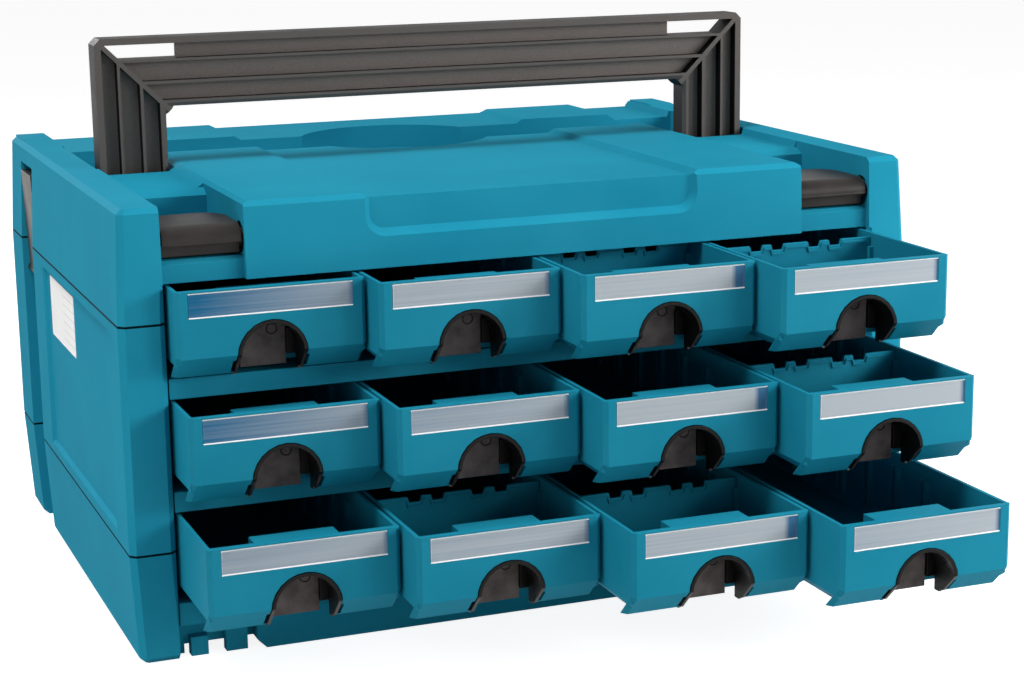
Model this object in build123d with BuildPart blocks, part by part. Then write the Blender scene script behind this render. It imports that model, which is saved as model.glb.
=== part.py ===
from build123d import *
import math
import os

# Stacking drawer case: three moulded shells around a rack of drawers, a fold-down handle and four latches.
# Lengths are in millimetres. The origin is the middle of the underside, +Y points to the back, +Z up.

# Cuts run this far past the faces that they open
overrun = 1.0

# Case shells
case_width = 396.0
case_depth = 296.0
base_height = 52.5
ring_height = 105.0
lid_height = 51.7
corner_bevel = 2.8
seam_bevel = 0.5
bevel_angle = 45.0
shell_wall = 3.2
floor_wall = 3.0
tongue_height = 3.0
tongue_wall = 1.6
fit_gap = 0.3

# Front columns and the opening between them
column_width = 21.0
column_bevel = 2.6
front_setback = 4.0
front_wall = 3.0

# Base tray
base_inset = 2.95
base_bevel = 3.0
notch_width = 36.0
notch_setback = 8.0
notch_height = 16.0
notch_foot = 4.5
notch_relief = 22.0
notch_bevel = 4.0
lug_reach = 5.5
outer_lug_offset = 9.1
outer_lug_width = 8.0
outer_lug_height = 9.0
inner_lug_offset = 26.6
inner_lug_width = 10.0
inner_lug_height = 12.0

# Raised frame round the shallow panel on each side and on the back
panel_border_z = 5.4
panel_front_margin = 27.7
panel_rear_margin = 28.6
back_panel_margin = 52.0
panel_depth = 1.8

# Side channels that hold the rear latches
channel_length = 34.4
channel_from_rear = 35.0
channel_depth = 9.0
channel_roof = 10.0

# Lid top
lid_inset = 2.4
top_bevel = 2.4
deck_drop = 3.4
middle_drop = 2.2
middle_margin = 113.5
middle_slope = 3.7
pad_margin = 60.7
pad_slope = 5.2
rail_width = 15.0
rail_slope = 2.1
lid_skin = 3.2
pocket_wall = 2.5
fascia_rise = 17.1
block_rise = 0.8
block_bevel = 6.0
block_length = 38.0

# Scoop in the middle of the lid's front
scoop_depth = 5.0
scoop_margin = 4.1
scoop_floor_rise = 35.0
scoop_corner = 7.0
scoop_slope = 45.0

# Handle and its recess
handle_margin = 22.0
handle_rise = 63.0
handle_thickness = 14.4
handle_band = 34.4
handle_corner = 3.0
handle_gusset = 4.0
handle_y = -1.5
handle_pivot_drop = 12.2
groove_shares = ((0.046, 0.302), (0.348, 0.602), (0.646, 0.905))
groove_depth = 5.8
mitre_rib = 1.7
window_end = 41.4
trunnion_radius = 4.0
trunnion_length = 4.6
handle_side_gap = 2.3
recess_front_gap = 1.6
recess_inner_gap = 2.4
recess_bevel = 3.0
recess_rear_gap = 11.3
recess_floor_gap = 0.8

# Finger dish
dish_radius = 51.5
dish_setback = 22.0
dish_bevel = 5.0

# Front latches
latch_pocket_width = 37.8
latch_pocket_depth = 71.0
latch_pocket_drop = 24.4
latch_lip_setback = 5.0
latch_lip_bevel = 2.0
latch_edge_run = 6.0
latch_edge_drop = 2.8
latch_width = 35.6
latch_barrel_radius = 6.9
latch_pivot_inset = 10.4
latch_pivot_drop = 16.8
latch_reach = 32.0
latch_plate = 5.0
latch_hook = 3.0
latch_corner = 12.0
latch_slot_depth = 2.2
latch_slot_end = 3.4
latch_pin_length = 2.6

# Rear latches
strap_width = 30.0
strap_wall = 3.6
strap_top_drop = 14.2
strap_pivot_drop = 16.5
strap_pivot_inset = 5.2
strap_lean = 2.0
strap_hook = 2.4
strap_barrel_radius = 2.4
strap_pin_length = 4.0

# Drawer grid
column_count = 4
row_count = 3
column_gap = 1.0
front_sill = 17.4
rim_clearance = 1.0
band_height = 9.4
front_recess = 2.0
drawer_hold = 70.0

# How far each drawer stands open, as a share of the travel, row by row from the top
open_shares = (
    (0.072, 0.158, 0.268, 0.388),
    (0.159, 0.266, 0.386, 0.514),
    (0.278, 0.378, 0.537, 0.674),
)

# Drawer
panel_gap = 0.8
panel_room = 22.2
panel_wall = 3.2
panel_bevel = 2.0
lip_drop = 10.0
lip_reach = 10.4
lip_wall = 2.4
drawer_gap = 1.4
drawer_rear_room = 26.0
drawer_room = 13.9
drawer_wall = 1.8
drawer_bevel = 5.0
label_margin = 6.0
label_end_gap = 0.8
label_height = 11.5
label_top = 0.8
label_pocket = 1.8
label_rim = 0.8

# Finger pull set in the drawer front
pull_radius = 16.3
pull_centre_drop = 31.5
pull_depth = 20.5
pull_wall = 1.6
pull_side_count = 24
pull_proud = 0.5
pull_slit = 2.2
pull_back_half = 10.8
pull_slit_height = 17.0
pull_foot = 1.4
pull_foot_length = 4.0
housing_half = 19.4
housing_drop = 3.4
housing_depth = 23.5

# Dividers and the ribs that hold them
slot_y = 69.0
slot_pitch = 26.4
slot_count = 2
slot_width = 2.6
slot_rib = 2.4
slot_reach = 2.4
slot_top_drop = 6.5
divider_wall = 1.8
divider_top_drop = 1.9
divider_gap = 0.4
divider_notch_spacing = 31.5
divider_notch_width = 18.5
divider_notch_depth = 2.8
divider_notch_slope = 0.8
divider_tab = 4.5

# Drawers with a divider (d) and plain ones (p), row by row from the top
divider_plan = ("ppdd", "pppd", "pddp")

# Rack that carries the drawers
rack_wall = 3.0
rack_clearance = 0.6
rack_ledge = 4.0
rack_rear_margin = 9.0
shelf_wall = 2.4
runner_width = 3.0
runner_margin = 19.0
runner_front = 16.0
ridge_base = 8.0
ridge_top = 1.6
ridge_height = 6.4

# Places that follow from the sizes above
half_width = case_width / 2
front_y = -case_depth / 2
rear_y = case_depth / 2
lower_seam = base_height
upper_seam = base_height + ring_height
rail_top = upper_seam + lid_height
deck_z = rail_top - deck_drop
fascia_z = upper_seam + fascia_rise
middle_half = half_width - middle_margin
pad_edge = half_width - pad_margin
scoop_half = middle_half - scoop_margin
opening_half = half_width - column_width
band_front = front_y + front_setback
closed_front = front_y + front_recess
top_rim = fascia_z - rim_clearance
column_pitch = 2 * (opening_half - column_gap) / column_count
row_pitch = (fascia_z - front_sill) / row_count
shelf_drop = row_pitch - band_height - rim_clearance
channel_rear = rear_y - channel_from_rear
channel_front = channel_rear - channel_length
channel_y = (channel_rear + channel_front) / 2
base_taper = math.degrees(math.atan(base_inset / base_height))
lid_taper = math.degrees(math.atan(lid_inset / (lid_height - top_bevel)))
rack_outer = opening_half + rack_wall - rack_clearance
rack_inner = opening_half - rack_clearance
rack_front = front_y + shell_wall + base_inset + fit_gap
rack_rear = rear_y - rack_rear_margin
shelf_half = rack_inner - fit_gap
outer_lug_x = shelf_half - outer_lug_offset
inner_lug_x = shelf_half - inner_lug_offset
runner_offset = column_pitch / 2 - runner_margin
panel_width = column_pitch - panel_gap
panel_face = row_pitch - panel_room
label_width = panel_width - 2 * label_margin
drawer_width = column_pitch - drawer_gap
drawer_depth = case_depth - drawer_rear_room
drawer_height = row_pitch - drawer_room
drawer_travel = drawer_depth - drawer_hold
lip_slope = lip_drop / lip_reach
lip_rise = lip_wall * math.sqrt(1 + lip_slope**2)
bin_inner_half = drawer_width / 2 - drawer_wall
bin_inner_depth = drawer_height - drawer_wall
bevel_share = 2 - math.sqrt(2)
bin_inner_bevel = drawer_bevel - drawer_wall * bevel_share
pocket_outer = opening_half + fit_gap
pocket_inner = pocket_outer - latch_pocket_width
latch_pocket_floor = rail_top - latch_pocket_drop
latch_pivot_y = front_y + latch_pivot_inset
latch_pivot_z = rail_top - latch_pivot_drop
strap_top = rail_top - strap_top_drop
strap_pivot_z = upper_seam - strap_pivot_drop
handle_width = case_width - 2 * handle_margin
handle_top = rail_top + handle_rise
handle_pivot_z = rail_top - handle_pivot_drop
recess_half = handle_width / 2 + handle_side_gap
recess_floor = handle_pivot_z - handle_thickness / 2 - recess_floor_gap
bar_near = handle_y + handle_top - handle_pivot_z - handle_band - recess_inner_gap
bar_far = handle_y + handle_top - handle_pivot_z + recess_rear_gap
dish_y = bar_far - dish_setback
leg_front = handle_y - handle_thickness / 2 - recess_front_gap
leg_inner = handle_width / 2 - handle_band - handle_side_gap


def rim_z(row):
    """Height of the drawer rims of a row."""
    return top_rim - row * row_pitch


def shelf_z(row):
    """Height of the shelf under a row."""
    return rim_z(row) - shelf_drop


def column_x(column):
    """Middle of a column of drawers."""
    return (column - (column_count - 1) / 2) * column_pitch


def block(low, high, mode=Mode.ADD):
    """Block between two opposite corners."""
    size = [b - a for a, b in zip(low, high)]
    centre = Vector(*[(a + b) / 2 for a, b in zip(low, high)])
    with Locations(centre):
        Box(*size, mode=mode)


def both_sides(low, high, mode=Mode.ADD):
    """The same block on the right and on the left of the case."""
    block(low, high, mode)
    block((-high[0], low[1], low[2]), (-low[0], high[1], high[2]), mode)


def upright_edges(shell):
    """The four corner edges of a plain shell block."""
    return shell.edges().filter_by(lambda edge: abs(edge.tangent_at(0).Z) > abs(edge.tangent_at(0).X))


def cavity_plan():
    """Inside of the shell walls from above, clear of the side channels."""
    Rectangle(case_width - 2 * shell_wall, case_depth - 2 * shell_wall)
    with Locations((half_width, channel_y), (-half_width, channel_y)):
        Rectangle(
            2 * (channel_depth + shell_wall),
            channel_length + 2 * shell_wall,
            mode=Mode.SUBTRACT,
        )


def opening_plan():
    """Gap between the front columns from above, bevelled towards the front."""
    Polygon(
        (-opening_half - column_bevel - overrun, front_y - overrun),
        (-opening_half, front_y + column_bevel),
        (-opening_half, front_y + shell_wall + overrun),
        (opening_half, front_y + shell_wall + overrun),
        (opening_half, front_y + column_bevel),
        (opening_half + column_bevel + overrun, front_y - overrun),
        align=None,
    )


def cut_channels(low, high):
    """Cut the latch channel into both sides between two heights."""
    both_sides(
        (half_width - channel_depth, channel_front, low),
        (half_width + overrun, channel_rear, high),
        Mode.SUBTRACT,
    )


def add_tongue(height):
    """Locating tongue that stands up inside the shell above, along the sides and the back."""
    side = half_width - shell_wall - fit_gap
    back = rear_y - shell_wall - fit_gap
    start = front_y + column_width
    end = channel_front - 2 * shell_wall
    both_sides((side - tongue_wall, start, height - tongue_height), (side, end, height + tongue_height))
    both_sides((side - tongue_wall, start, height - tongue_height), (side + shell_wall / 2, end, height))
    block(
        (-opening_half, back - tongue_wall, height - tongue_height),
        (opening_half, back, height + tongue_height),
    )
    block(
        (-opening_half, back - tongue_wall, height - tongue_height),
        (opening_half, back + shell_wall / 2, height),
    )


# Base tray
with BuildPart() as base_tray:
    with BuildSketch(Plane.XY.offset(base_height)):
        Rectangle(case_width, case_depth)
    extrude(amount=-base_height, taper=base_taper)
    chamfer(upright_edges(base_tray).filter_by(Axis.Y, reverse=True), corner_bevel)
    chamfer(base_tray.faces().sort_by(Axis.Z)[0].edges(), base_bevel)
    chamfer(base_tray.faces().sort_by(Axis.Z)[-1].edges(), seam_bevel)
    with BuildSketch(Plane.XY.offset(base_height)):
        cavity_plan()
    extrude(amount=floor_wall - base_height, taper=base_taper, mode=Mode.SUBTRACT)
    cut_channels(-overrun, base_height + overrun)
    with BuildSketch(Plane.XY.offset(base_height + overrun)):
        opening_plan()
    extrude(amount=-base_height - 2 * overrun, mode=Mode.SUBTRACT)
    block(
        (-opening_half, front_y - overrun, floor_wall),
        (opening_half, band_front + front_wall, base_height + overrun),
        Mode.SUBTRACT,
    )
    block((-shelf_half, band_front, 0), (shelf_half, band_front + front_wall, shelf_z(row_count - 1)))
    notch_inner = shelf_half - notch_width
    notch_back = band_front + notch_setback
    both_sides(
        (notch_inner - front_wall, band_front, 0),
        (shelf_half, notch_back + front_wall, notch_height + front_wall),
    )
    both_sides(
        (notch_inner - front_wall, notch_back, 0),
        (shelf_half, notch_back + notch_relief + front_wall, notch_foot + front_wall),
    )
    both_sides(
        (notch_inner, band_front - overrun, -overrun),
        (opening_half, notch_back, notch_height),
        Mode.SUBTRACT,
    )
    both_sides(
        (notch_inner, notch_back - overrun, -overrun),
        (shelf_half - front_wall, notch_back + notch_relief, notch_foot),
        Mode.SUBTRACT,
    )
    notch_edges = base_tray.edges().filter_by(Axis.Y).group_by(Axis.Z)[0]
    chamfer(notch_edges.filter_by(lambda edge: abs(edge.center().X) < notch_inner + overrun), notch_bevel)
    both_sides(
        (outer_lug_x - outer_lug_width / 2, notch_back - lug_reach, 0),
        (outer_lug_x + outer_lug_width / 2, notch_back, outer_lug_height),
    )
    both_sides(
        (inner_lug_x - inner_lug_width / 2, notch_back - lug_reach, 0),
        (inner_lug_x + inner_lug_width / 2, notch_back, inner_lug_height),
    )
    add_tongue(base_height)

# Middle ring
with BuildPart() as body_ring:
    with BuildSketch(Plane.XY.offset(lower_seam)):
        Rectangle(case_width, case_depth)
    extrude(amount=ring_height)
    chamfer(body_ring.edges().filter_by(Axis.Z), corner_bevel)
    chamfer(body_ring.faces().sort_by(Axis.Z)[0].edges(), seam_bevel)
    chamfer(body_ring.faces().sort_by(Axis.Z)[-1].edges(), seam_bevel)
    with BuildSketch(Plane.XY.offset(lower_seam - overrun)):
        cavity_plan()
    extrude(amount=ring_height + 2 * overrun, mode=Mode.SUBTRACT)
    cut_channels(lower_seam - overrun, upper_seam + overrun)
    with BuildSketch(Plane.XY.offset(lower_seam - overrun)):
        opening_plan()
    extrude(amount=ring_height + 2 * overrun, mode=Mode.SUBTRACT)
    panel_low = lower_seam + panel_border_z
    panel_high = upper_seam - panel_border_z
    panel_front = front_y + panel_front_margin
    panel_rear = channel_front - panel_rear_margin
    for panel_plane in (Plane.YZ.offset(half_width), Plane.YZ.offset(-half_width)):
        inward = -panel_depth if panel_plane.origin.X > 0 else panel_depth
        with BuildSketch(panel_plane):
            with Locations(((panel_front + panel_rear) / 2, (panel_low + panel_high) / 2)):
                Rectangle(panel_rear - panel_front, panel_high - panel_low)
        extrude(amount=inward, taper=bevel_angle, mode=Mode.SUBTRACT)
    with BuildSketch(Plane.XZ.offset(-rear_y)):
        with Locations((0, (panel_low + panel_high) / 2)):
            Rectangle(case_width - 2 * back_panel_margin, panel_high - panel_low)
    extrude(amount=panel_depth, taper=bevel_angle, mode=Mode.SUBTRACT)
    with Locations(
        (half_width - strap_pivot_inset, channel_y, strap_pivot_z),
        (-half_width + strap_pivot_inset, channel_y, strap_pivot_z),
    ):
        Cylinder(
            strap_barrel_radius + fit_gap,
            strap_width + 2 * strap_pin_length + 2 * fit_gap,
            rotation=(90, 0, 0),
            mode=Mode.SUBTRACT,
        )
    add_tongue(upper_seam)

# Space inside the lid, left over by the walls of its pockets
with BuildPart() as lid_cavity:
    with BuildSketch(Plane.XY.offset(upper_seam - overrun)):
        Rectangle(case_width - 2 * shell_wall, case_depth - 2 * shell_wall)
    extrude(amount=deck_z - lid_skin - upper_seam + overrun, taper=lid_taper)
    both_sides(
        (half_width - channel_depth - shell_wall, channel_front - shell_wall, upper_seam - overrun),
        (half_width, channel_rear + shell_wall, rail_top),
        Mode.SUBTRACT,
    )
    block(
        (-half_width, front_y, fascia_z),
        (half_width, front_y + latch_lip_setback + shell_wall + overrun, rail_top),
        Mode.SUBTRACT,
    )
    both_sides(
        (pocket_inner - pocket_wall, front_y, latch_pocket_floor - pocket_wall),
        (pocket_outer + pocket_wall, front_y + latch_pocket_depth + pocket_wall, rail_top),
        Mode.SUBTRACT,
    )
    both_sides(
        (leg_inner - pocket_wall, leg_front - pocket_wall, recess_floor - pocket_wall),
        (recess_half + pocket_wall, bar_far + pocket_wall, rail_top),
        Mode.SUBTRACT,
    )
    block(
        (-recess_half, bar_near - pocket_wall, recess_floor - pocket_wall),
        (recess_half, bar_far + pocket_wall, rail_top),
        Mode.SUBTRACT,
    )
    with Locations((0, dish_y, (recess_floor - pocket_wall + rail_top) / 2)):
        Cylinder(dish_radius + pocket_wall, rail_top - recess_floor + pocket_wall, mode=Mode.SUBTRACT)

# Lid
with BuildPart() as lid:
    with BuildSketch(Plane.XY.offset(upper_seam)):
        Rectangle(case_width, case_depth)
    extrude(amount=lid_height - top_bevel, taper=lid_taper)
    chamfer(upright_edges(lid).filter_by(Axis.Y, reverse=True), corner_bevel)
    extrude(lid.faces().sort_by(Axis.Z)[-1], amount=top_bevel, taper=bevel_angle)
    rail_edge = half_width - lid_inset - top_bevel - rail_width
    block_front = rear_y - block_length
    block_back = rear_y - lid_inset - top_bevel
    for side in (1, -1):
        with BuildSketch(Plane.YZ.offset(side * rail_edge)):
            Polygon(
                (block_front, deck_z),
                (block_front, rail_top),
                (block_front + block_bevel, rail_top + block_rise),
                (block_back, rail_top + block_rise),
                (block_back, deck_z),
                align=None,
            )
        extrude(amount=side * rail_width)
    with BuildSketch(Plane.XZ):
        Polygon(
            (-middle_half - middle_slope, rail_top + middle_drop),
            (-middle_half + middle_slope, rail_top - middle_drop),
            (middle_half - middle_slope, rail_top - middle_drop),
            (middle_half + middle_slope, rail_top + middle_drop),
            align=None,
        )
        for side in (1, -1):
            Polygon(
                (side * (pad_edge - pad_slope), rail_top + deck_drop),
                (side * (pad_edge + pad_slope), rail_top - deck_drop),
                (side * (rail_edge - rail_slope), rail_top - deck_drop),
                (side * rail_edge, rail_top + deck_drop),
                align=None,
            )
    extrude(amount=case_depth, both=True, mode=Mode.SUBTRACT)
    add(lid_cavity.part, mode=Mode.SUBTRACT)
    with BuildSketch(Plane.XY.offset(upper_seam - overrun)):
        opening_plan()
    extrude(amount=fascia_rise + overrun, mode=Mode.SUBTRACT)
    cut_channels(upper_seam - overrun, rail_top - channel_roof)
    with BuildSketch(Plane.XZ.offset(-front_y - scoop_depth)):
        with Locations((0, upper_seam + scoop_floor_rise)):
            scoop = Rectangle(2 * scoop_half, lid_height, align=(Align.CENTER, Align.MIN))
        fillet(scoop.vertices().group_by(Axis.Y)[0], scoop_corner)
    extrude(amount=scoop_depth + overrun, taper=-scoop_slope, mode=Mode.SUBTRACT)
    lip_y = front_y + latch_lip_setback
    pocket_rear = front_y + latch_pocket_depth
    for side in (1, -1):
        with BuildSketch(Plane.YZ.offset(side * (pocket_inner + pocket_outer) / 2)):
            Polygon(
                (front_y - overrun, fascia_z - overrun),
                (lip_y, fascia_z - overrun),
                (lip_y, latch_pocket_floor - latch_lip_bevel),
                (lip_y + latch_lip_bevel, latch_pocket_floor),
                (pocket_rear, latch_pocket_floor),
                (pocket_rear, deck_z - latch_edge_drop),
                (pocket_rear + latch_edge_run, deck_z),
                (pocket_rear + latch_edge_run, rail_top + overrun),
                (front_y - overrun, rail_top + overrun),
                align=None,
            )
        extrude(amount=latch_pocket_width / 2, both=True, mode=Mode.SUBTRACT)
    both_sides(
        (leg_inner, leg_front, recess_floor),
        (recess_half, bar_far, rail_top + overrun),
        Mode.SUBTRACT,
    )
    block(
        (-recess_half, bar_near, recess_floor),
        (recess_half, bar_far, rail_top + overrun),
        Mode.SUBTRACT,
    )
    with BuildSketch(Plane.XY.offset(recess_floor)):
        for side in (1, -1):
            Polygon(
                (side * (leg_inner - recess_bevel), bar_near),
                (side * leg_inner, bar_near - recess_bevel),
                (side * (leg_inner + overrun), bar_near + overrun),
                align=None,
            )
    extrude(amount=rail_top - recess_floor + overrun, mode=Mode.SUBTRACT)
    dish_plane = Plane(origin=(0, dish_y, 0), x_dir=(1, 0, 0), z_dir=(0, -1, 0))
    with BuildSketch(dish_plane):
        Polygon(
            (0, recess_floor),
            (dish_radius - dish_bevel, recess_floor),
            (dish_radius, recess_floor + dish_bevel),
            (dish_radius, rail_top + overrun),
            (0, rail_top + overrun),
            align=None,
        )
    revolve(axis=Axis((0, dish_y, 0), (0, 0, 1)), mode=Mode.SUBTRACT)
    with Locations((recess_half, handle_y, handle_pivot_z), (-recess_half, handle_y, handle_pivot_z)):
        Cylinder(
            trunnion_radius + fit_gap,
            2 * (trunnion_length + fit_gap - handle_side_gap),
            rotation=(0, 90, 0),
            mode=Mode.SUBTRACT,
        )
    with Locations(
        ((pocket_inner + pocket_outer) / 2, latch_pivot_y, latch_pivot_z),
        (-(pocket_inner + pocket_outer) / 2, latch_pivot_y, latch_pivot_z),
    ):
        Cylinder(
            latch_barrel_radius + fit_gap,
            latch_width + 2 * latch_pin_length + 2 * fit_gap,
            rotation=(0, 90, 0),
            mode=Mode.SUBTRACT,
        )


def bar_groove(shallow, deep):
    """Groove along the handle's bar between two insets from its edge, mitred at both ends."""
    shallow_end = handle_width / 2 - shallow - mitre_rib
    deep_end = handle_width / 2 - deep - mitre_rib
    Polygon(
        (-shallow_end, handle_top - shallow),
        (shallow_end, handle_top - shallow),
        (deep_end, handle_top - deep),
        (-deep_end, handle_top - deep),
        align=None,
    )


def leg_groove(shallow, deep, side):
    """Groove down one of the handle's legs between two insets from its edge, mitred at the top."""
    foot = handle_pivot_z + handle_thickness / 2
    Polygon(
        (side * (handle_width / 2 - shallow), foot),
        (side * (handle_width / 2 - shallow), handle_top - shallow - mitre_rib),
        (side * (handle_width / 2 - deep), handle_top - deep - mitre_rib),
        (side * (handle_width / 2 - deep), foot),
        align=None,
    )


def bar_window(side):
    """Opening through the outer groove of the bar, next to a corner."""
    shallow = groove_shares[0][0] * handle_band
    deep = groove_shares[0][1] * handle_band
    inner_end = handle_width / 2 - window_end
    Polygon(
        (side * (handle_width / 2 - shallow - mitre_rib), handle_top - shallow),
        (side * (handle_width / 2 - deep - mitre_rib), handle_top - deep),
        (side * inner_end, handle_top - deep),
        (side * inner_end, handle_top - shallow),
        align=None,
    )


# Fold-down handle: a flat U with nested grooves on both faces
with BuildPart() as handle:
    half_thickness = handle_thickness / 2
    leg_centre = handle_width / 2 - handle_band / 2
    inner_half = handle_width / 2 - handle_band
    inner_top = handle_top - handle_band
    with BuildSketch(Plane.XZ.offset(-handle_y)):
        Polygon(
            (-handle_width / 2, handle_pivot_z),
            (-handle_width / 2, handle_top - handle_corner),
            (-handle_width / 2 + handle_corner, handle_top),
            (handle_width / 2 - handle_corner, handle_top),
            (handle_width / 2, handle_top - handle_corner),
            (handle_width / 2, handle_pivot_z),
            (inner_half, handle_pivot_z),
            (inner_half, inner_top - handle_gusset),
            (inner_half - handle_gusset, inner_top),
            (-inner_half + handle_gusset, inner_top),
            (-inner_half, inner_top - handle_gusset),
            (-inner_half, handle_pivot_z),
            align=None,
        )
    extrude(amount=half_thickness, both=True)
    for face_side in (1, -1):
        groove_floor = -handle_y + face_side * (half_thickness - groove_depth)
        with BuildSketch(Plane.XZ.offset(groove_floor)):
            for shallow_share, deep_share in groove_shares:
                bar_groove(shallow_share * handle_band, deep_share * handle_band)
                leg_groove(shallow_share * handle_band, deep_share * handle_band, 1)
                leg_groove(shallow_share * handle_band, deep_share * handle_band, -1)
        extrude(amount=face_side * (groove_depth + overrun), mode=Mode.SUBTRACT)
    with BuildSketch(Plane.XZ.offset(-handle_y)):
        bar_window(1)
        bar_window(-1)
    extrude(amount=handle_thickness, both=True, mode=Mode.SUBTRACT)
    with Locations(
        (leg_centre, handle_y, handle_pivot_z),
        (-leg_centre, handle_y, handle_pivot_z),
    ):
        Cylinder(half_thickness, handle_band, rotation=(0, 90, 0))
    trunnion_x = handle_width / 2 + (trunnion_length - half_thickness) / 2
    with Locations((trunnion_x, handle_y, handle_pivot_z), (-trunnion_x, handle_y, handle_pivot_z)):
        Cylinder(trunnion_radius, trunnion_length + half_thickness, rotation=(0, 90, 0))


def front_latch(side):
    """Front latch: a barrel that turns in the pocket walls, and a plate that lies back in the pocket."""
    middle = side * (pocket_inner + pocket_outer) / 2
    plate_top = latch_pivot_z + latch_barrel_radius
    plate_rear = latch_pivot_y + latch_reach
    with BuildPart() as latch:
        with BuildSketch(Plane.XY.offset(plate_top - latch_plate)):
            with Locations((middle, (latch_pivot_y + plate_rear) / 2)):
                plate = Rectangle(latch_width, latch_reach)
            fillet(plate.vertices().group_by(Axis.Y)[-1], latch_corner)
        extrude(amount=latch_plate)
        block(
            (middle - latch_width / 4, plate_rear - latch_hook, plate_top - latch_plate - latch_hook),
            (middle + latch_width / 4, plate_rear, plate_top - latch_plate / 2),
        )
        with Locations((middle, latch_pivot_y, latch_pivot_z)):
            Cylinder(latch_barrel_radius, latch_width + 2 * latch_pin_length, rotation=(0, 90, 0))
        slot_half = latch_width / 2 - latch_slot_end
        slot_front = latch_pivot_y - latch_barrel_radius
        block(
            (middle - slot_half, slot_front - overrun, latch_pivot_z - latch_barrel_radius),
            (middle + slot_half, slot_front + latch_slot_depth, latch_pivot_z - latch_hook / 2),
            Mode.SUBTRACT,
        )
    return latch.part


def rear_latch(side):
    """Rear latch: a strap on a barrel, standing in the side channel with a hook at its top."""
    pivot_x = half_width - strap_pivot_inset
    top_x = pivot_x + strap_lean
    with BuildPart() as latch:
        with BuildSketch(Plane.XZ.offset(-channel_y)):
            Polygon(
                (side * (pivot_x - strap_wall / 2), strap_pivot_z),
                (side * (pivot_x + strap_wall / 2), strap_pivot_z),
                (side * (top_x + strap_wall / 2), strap_top),
                (side * (top_x - strap_wall / 2 - strap_hook), strap_top),
                (side * (top_x - strap_wall / 2 - strap_hook), strap_top - strap_hook),
                (side * (top_x - strap_wall / 2), strap_top - 2 * strap_hook),
                align=None,
            )
        extrude(amount=strap_width / 2, both=True)
        with Locations((side * pivot_x, channel_y, strap_pivot_z)):
            Cylinder(strap_barrel_radius, strap_width + 2 * strap_pin_length, rotation=(90, 0, 0))
    return latch.part


def rack_side(side):
    """Upright side of the rack, with a ledge under each shelf."""
    with BuildPart() as upright:
        block(
            (rack_inner, rack_front, floor_wall),
            (rack_outer, rack_rear, fascia_z - fit_gap),
        )
        for row in range(row_count):
            ledge_top = shelf_z(row) - shelf_wall
            block(
                (rack_inner - rack_ledge, band_front + 2 * front_wall, ledge_top - rack_ledge),
                (rack_inner, rack_rear, ledge_top),
            )
        if side < 0:
            mirror(about=Plane.YZ, mode=Mode.REPLACE)
    return upright.part


def shelf(row):
    """Shelf under a row: plate, front band, runners under the drawers and ridges between them."""
    top = shelf_z(row)
    lowest = row == row_count - 1
    plate_front = band_front + front_wall + fit_gap if lowest else band_front
    runner_start = closed_front + runner_front
    with BuildPart() as tray:
        block((-shelf_half, plate_front, top - shelf_wall), (shelf_half, rack_rear, top))
        if not lowest:
            block((-shelf_half, band_front, top - band_height), (shelf_half, band_front + front_wall, top))
        runner_length = rack_rear - runner_start
        runner_height = shelf_drop - drawer_height - fit_gap
        for column in range(column_count):
            for offset in (runner_offset, -runner_offset):
                x = column_x(column) + offset
                block(
                    (x - runner_width / 2, runner_start, top),
                    (x + runner_width / 2, rack_rear, top + runner_height),
                )
        with BuildSketch(Plane.XZ.offset(-runner_start)):
            for column in range(column_count - 1):
                with Locations((column_x(column) + column_pitch / 2, top)):
                    Polygon(
                        (-ridge_base / 2, 0),
                        (ridge_base / 2, 0),
                        (ridge_top / 2, ridge_height),
                        (-ridge_top / 2, ridge_height),
                        align=None,
                    )
        extrude(amount=-runner_length)
    return tray.part


def tub_section(half, depth, bevel, top):
    """Cross-section of a drawer: upright sides and bevelled lower corners."""
    Polygon(
        (-half, top),
        (-half, bevel - depth),
        (bevel - half, -depth),
        (half - bevel, -depth),
        (half, bevel - depth),
        (half, top),
        align=None,
    )


def runs_down_front(edge):
    """Whether an edge runs down one end of the drawer's front face or of its lip."""
    middle = edge.center()
    at_end = abs(middle.X) > panel_width / 4
    on_face = middle.Y < panel_wall / 4
    on_lip = middle.Z < -panel_face and middle.Y < lip_reach * 2 / 3
    return at_end and (on_face or on_lip)


def arch(radius, leg):
    """Half-round arch of flat facets on straight legs, about the middle of the pull."""
    with Locations((0, -pull_centre_drop)):
        RegularPolygon(radius, pull_side_count)
        Rectangle(2 * radius, radius, align=(Align.CENTER, Align.MAX), mode=Mode.SUBTRACT)
        Rectangle(2 * radius, leg, align=(Align.CENTER, Align.MAX))


# Hollow of a drawer, bounded in front by the sloping lip; its front is at y = 0 and its rim at z = 0
with BuildPart() as drawer_hollow:
    with BuildSketch(Plane.XZ.offset(-panel_wall)):
        tub_section(bin_inner_half, bin_inner_depth, bin_inner_bevel, overrun)
    extrude(amount=panel_wall + drawer_wall - drawer_depth)
    with BuildSketch(Plane.YZ):
        Polygon(
            (panel_wall, -panel_face - lip_slope * panel_wall + lip_rise),
            ((bin_inner_depth - panel_face + lip_rise) / lip_slope, -bin_inner_depth),
            (panel_wall, -bin_inner_depth),
            align=None,
        )
    extrude(amount=drawer_width, both=True, mode=Mode.SUBTRACT)

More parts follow.
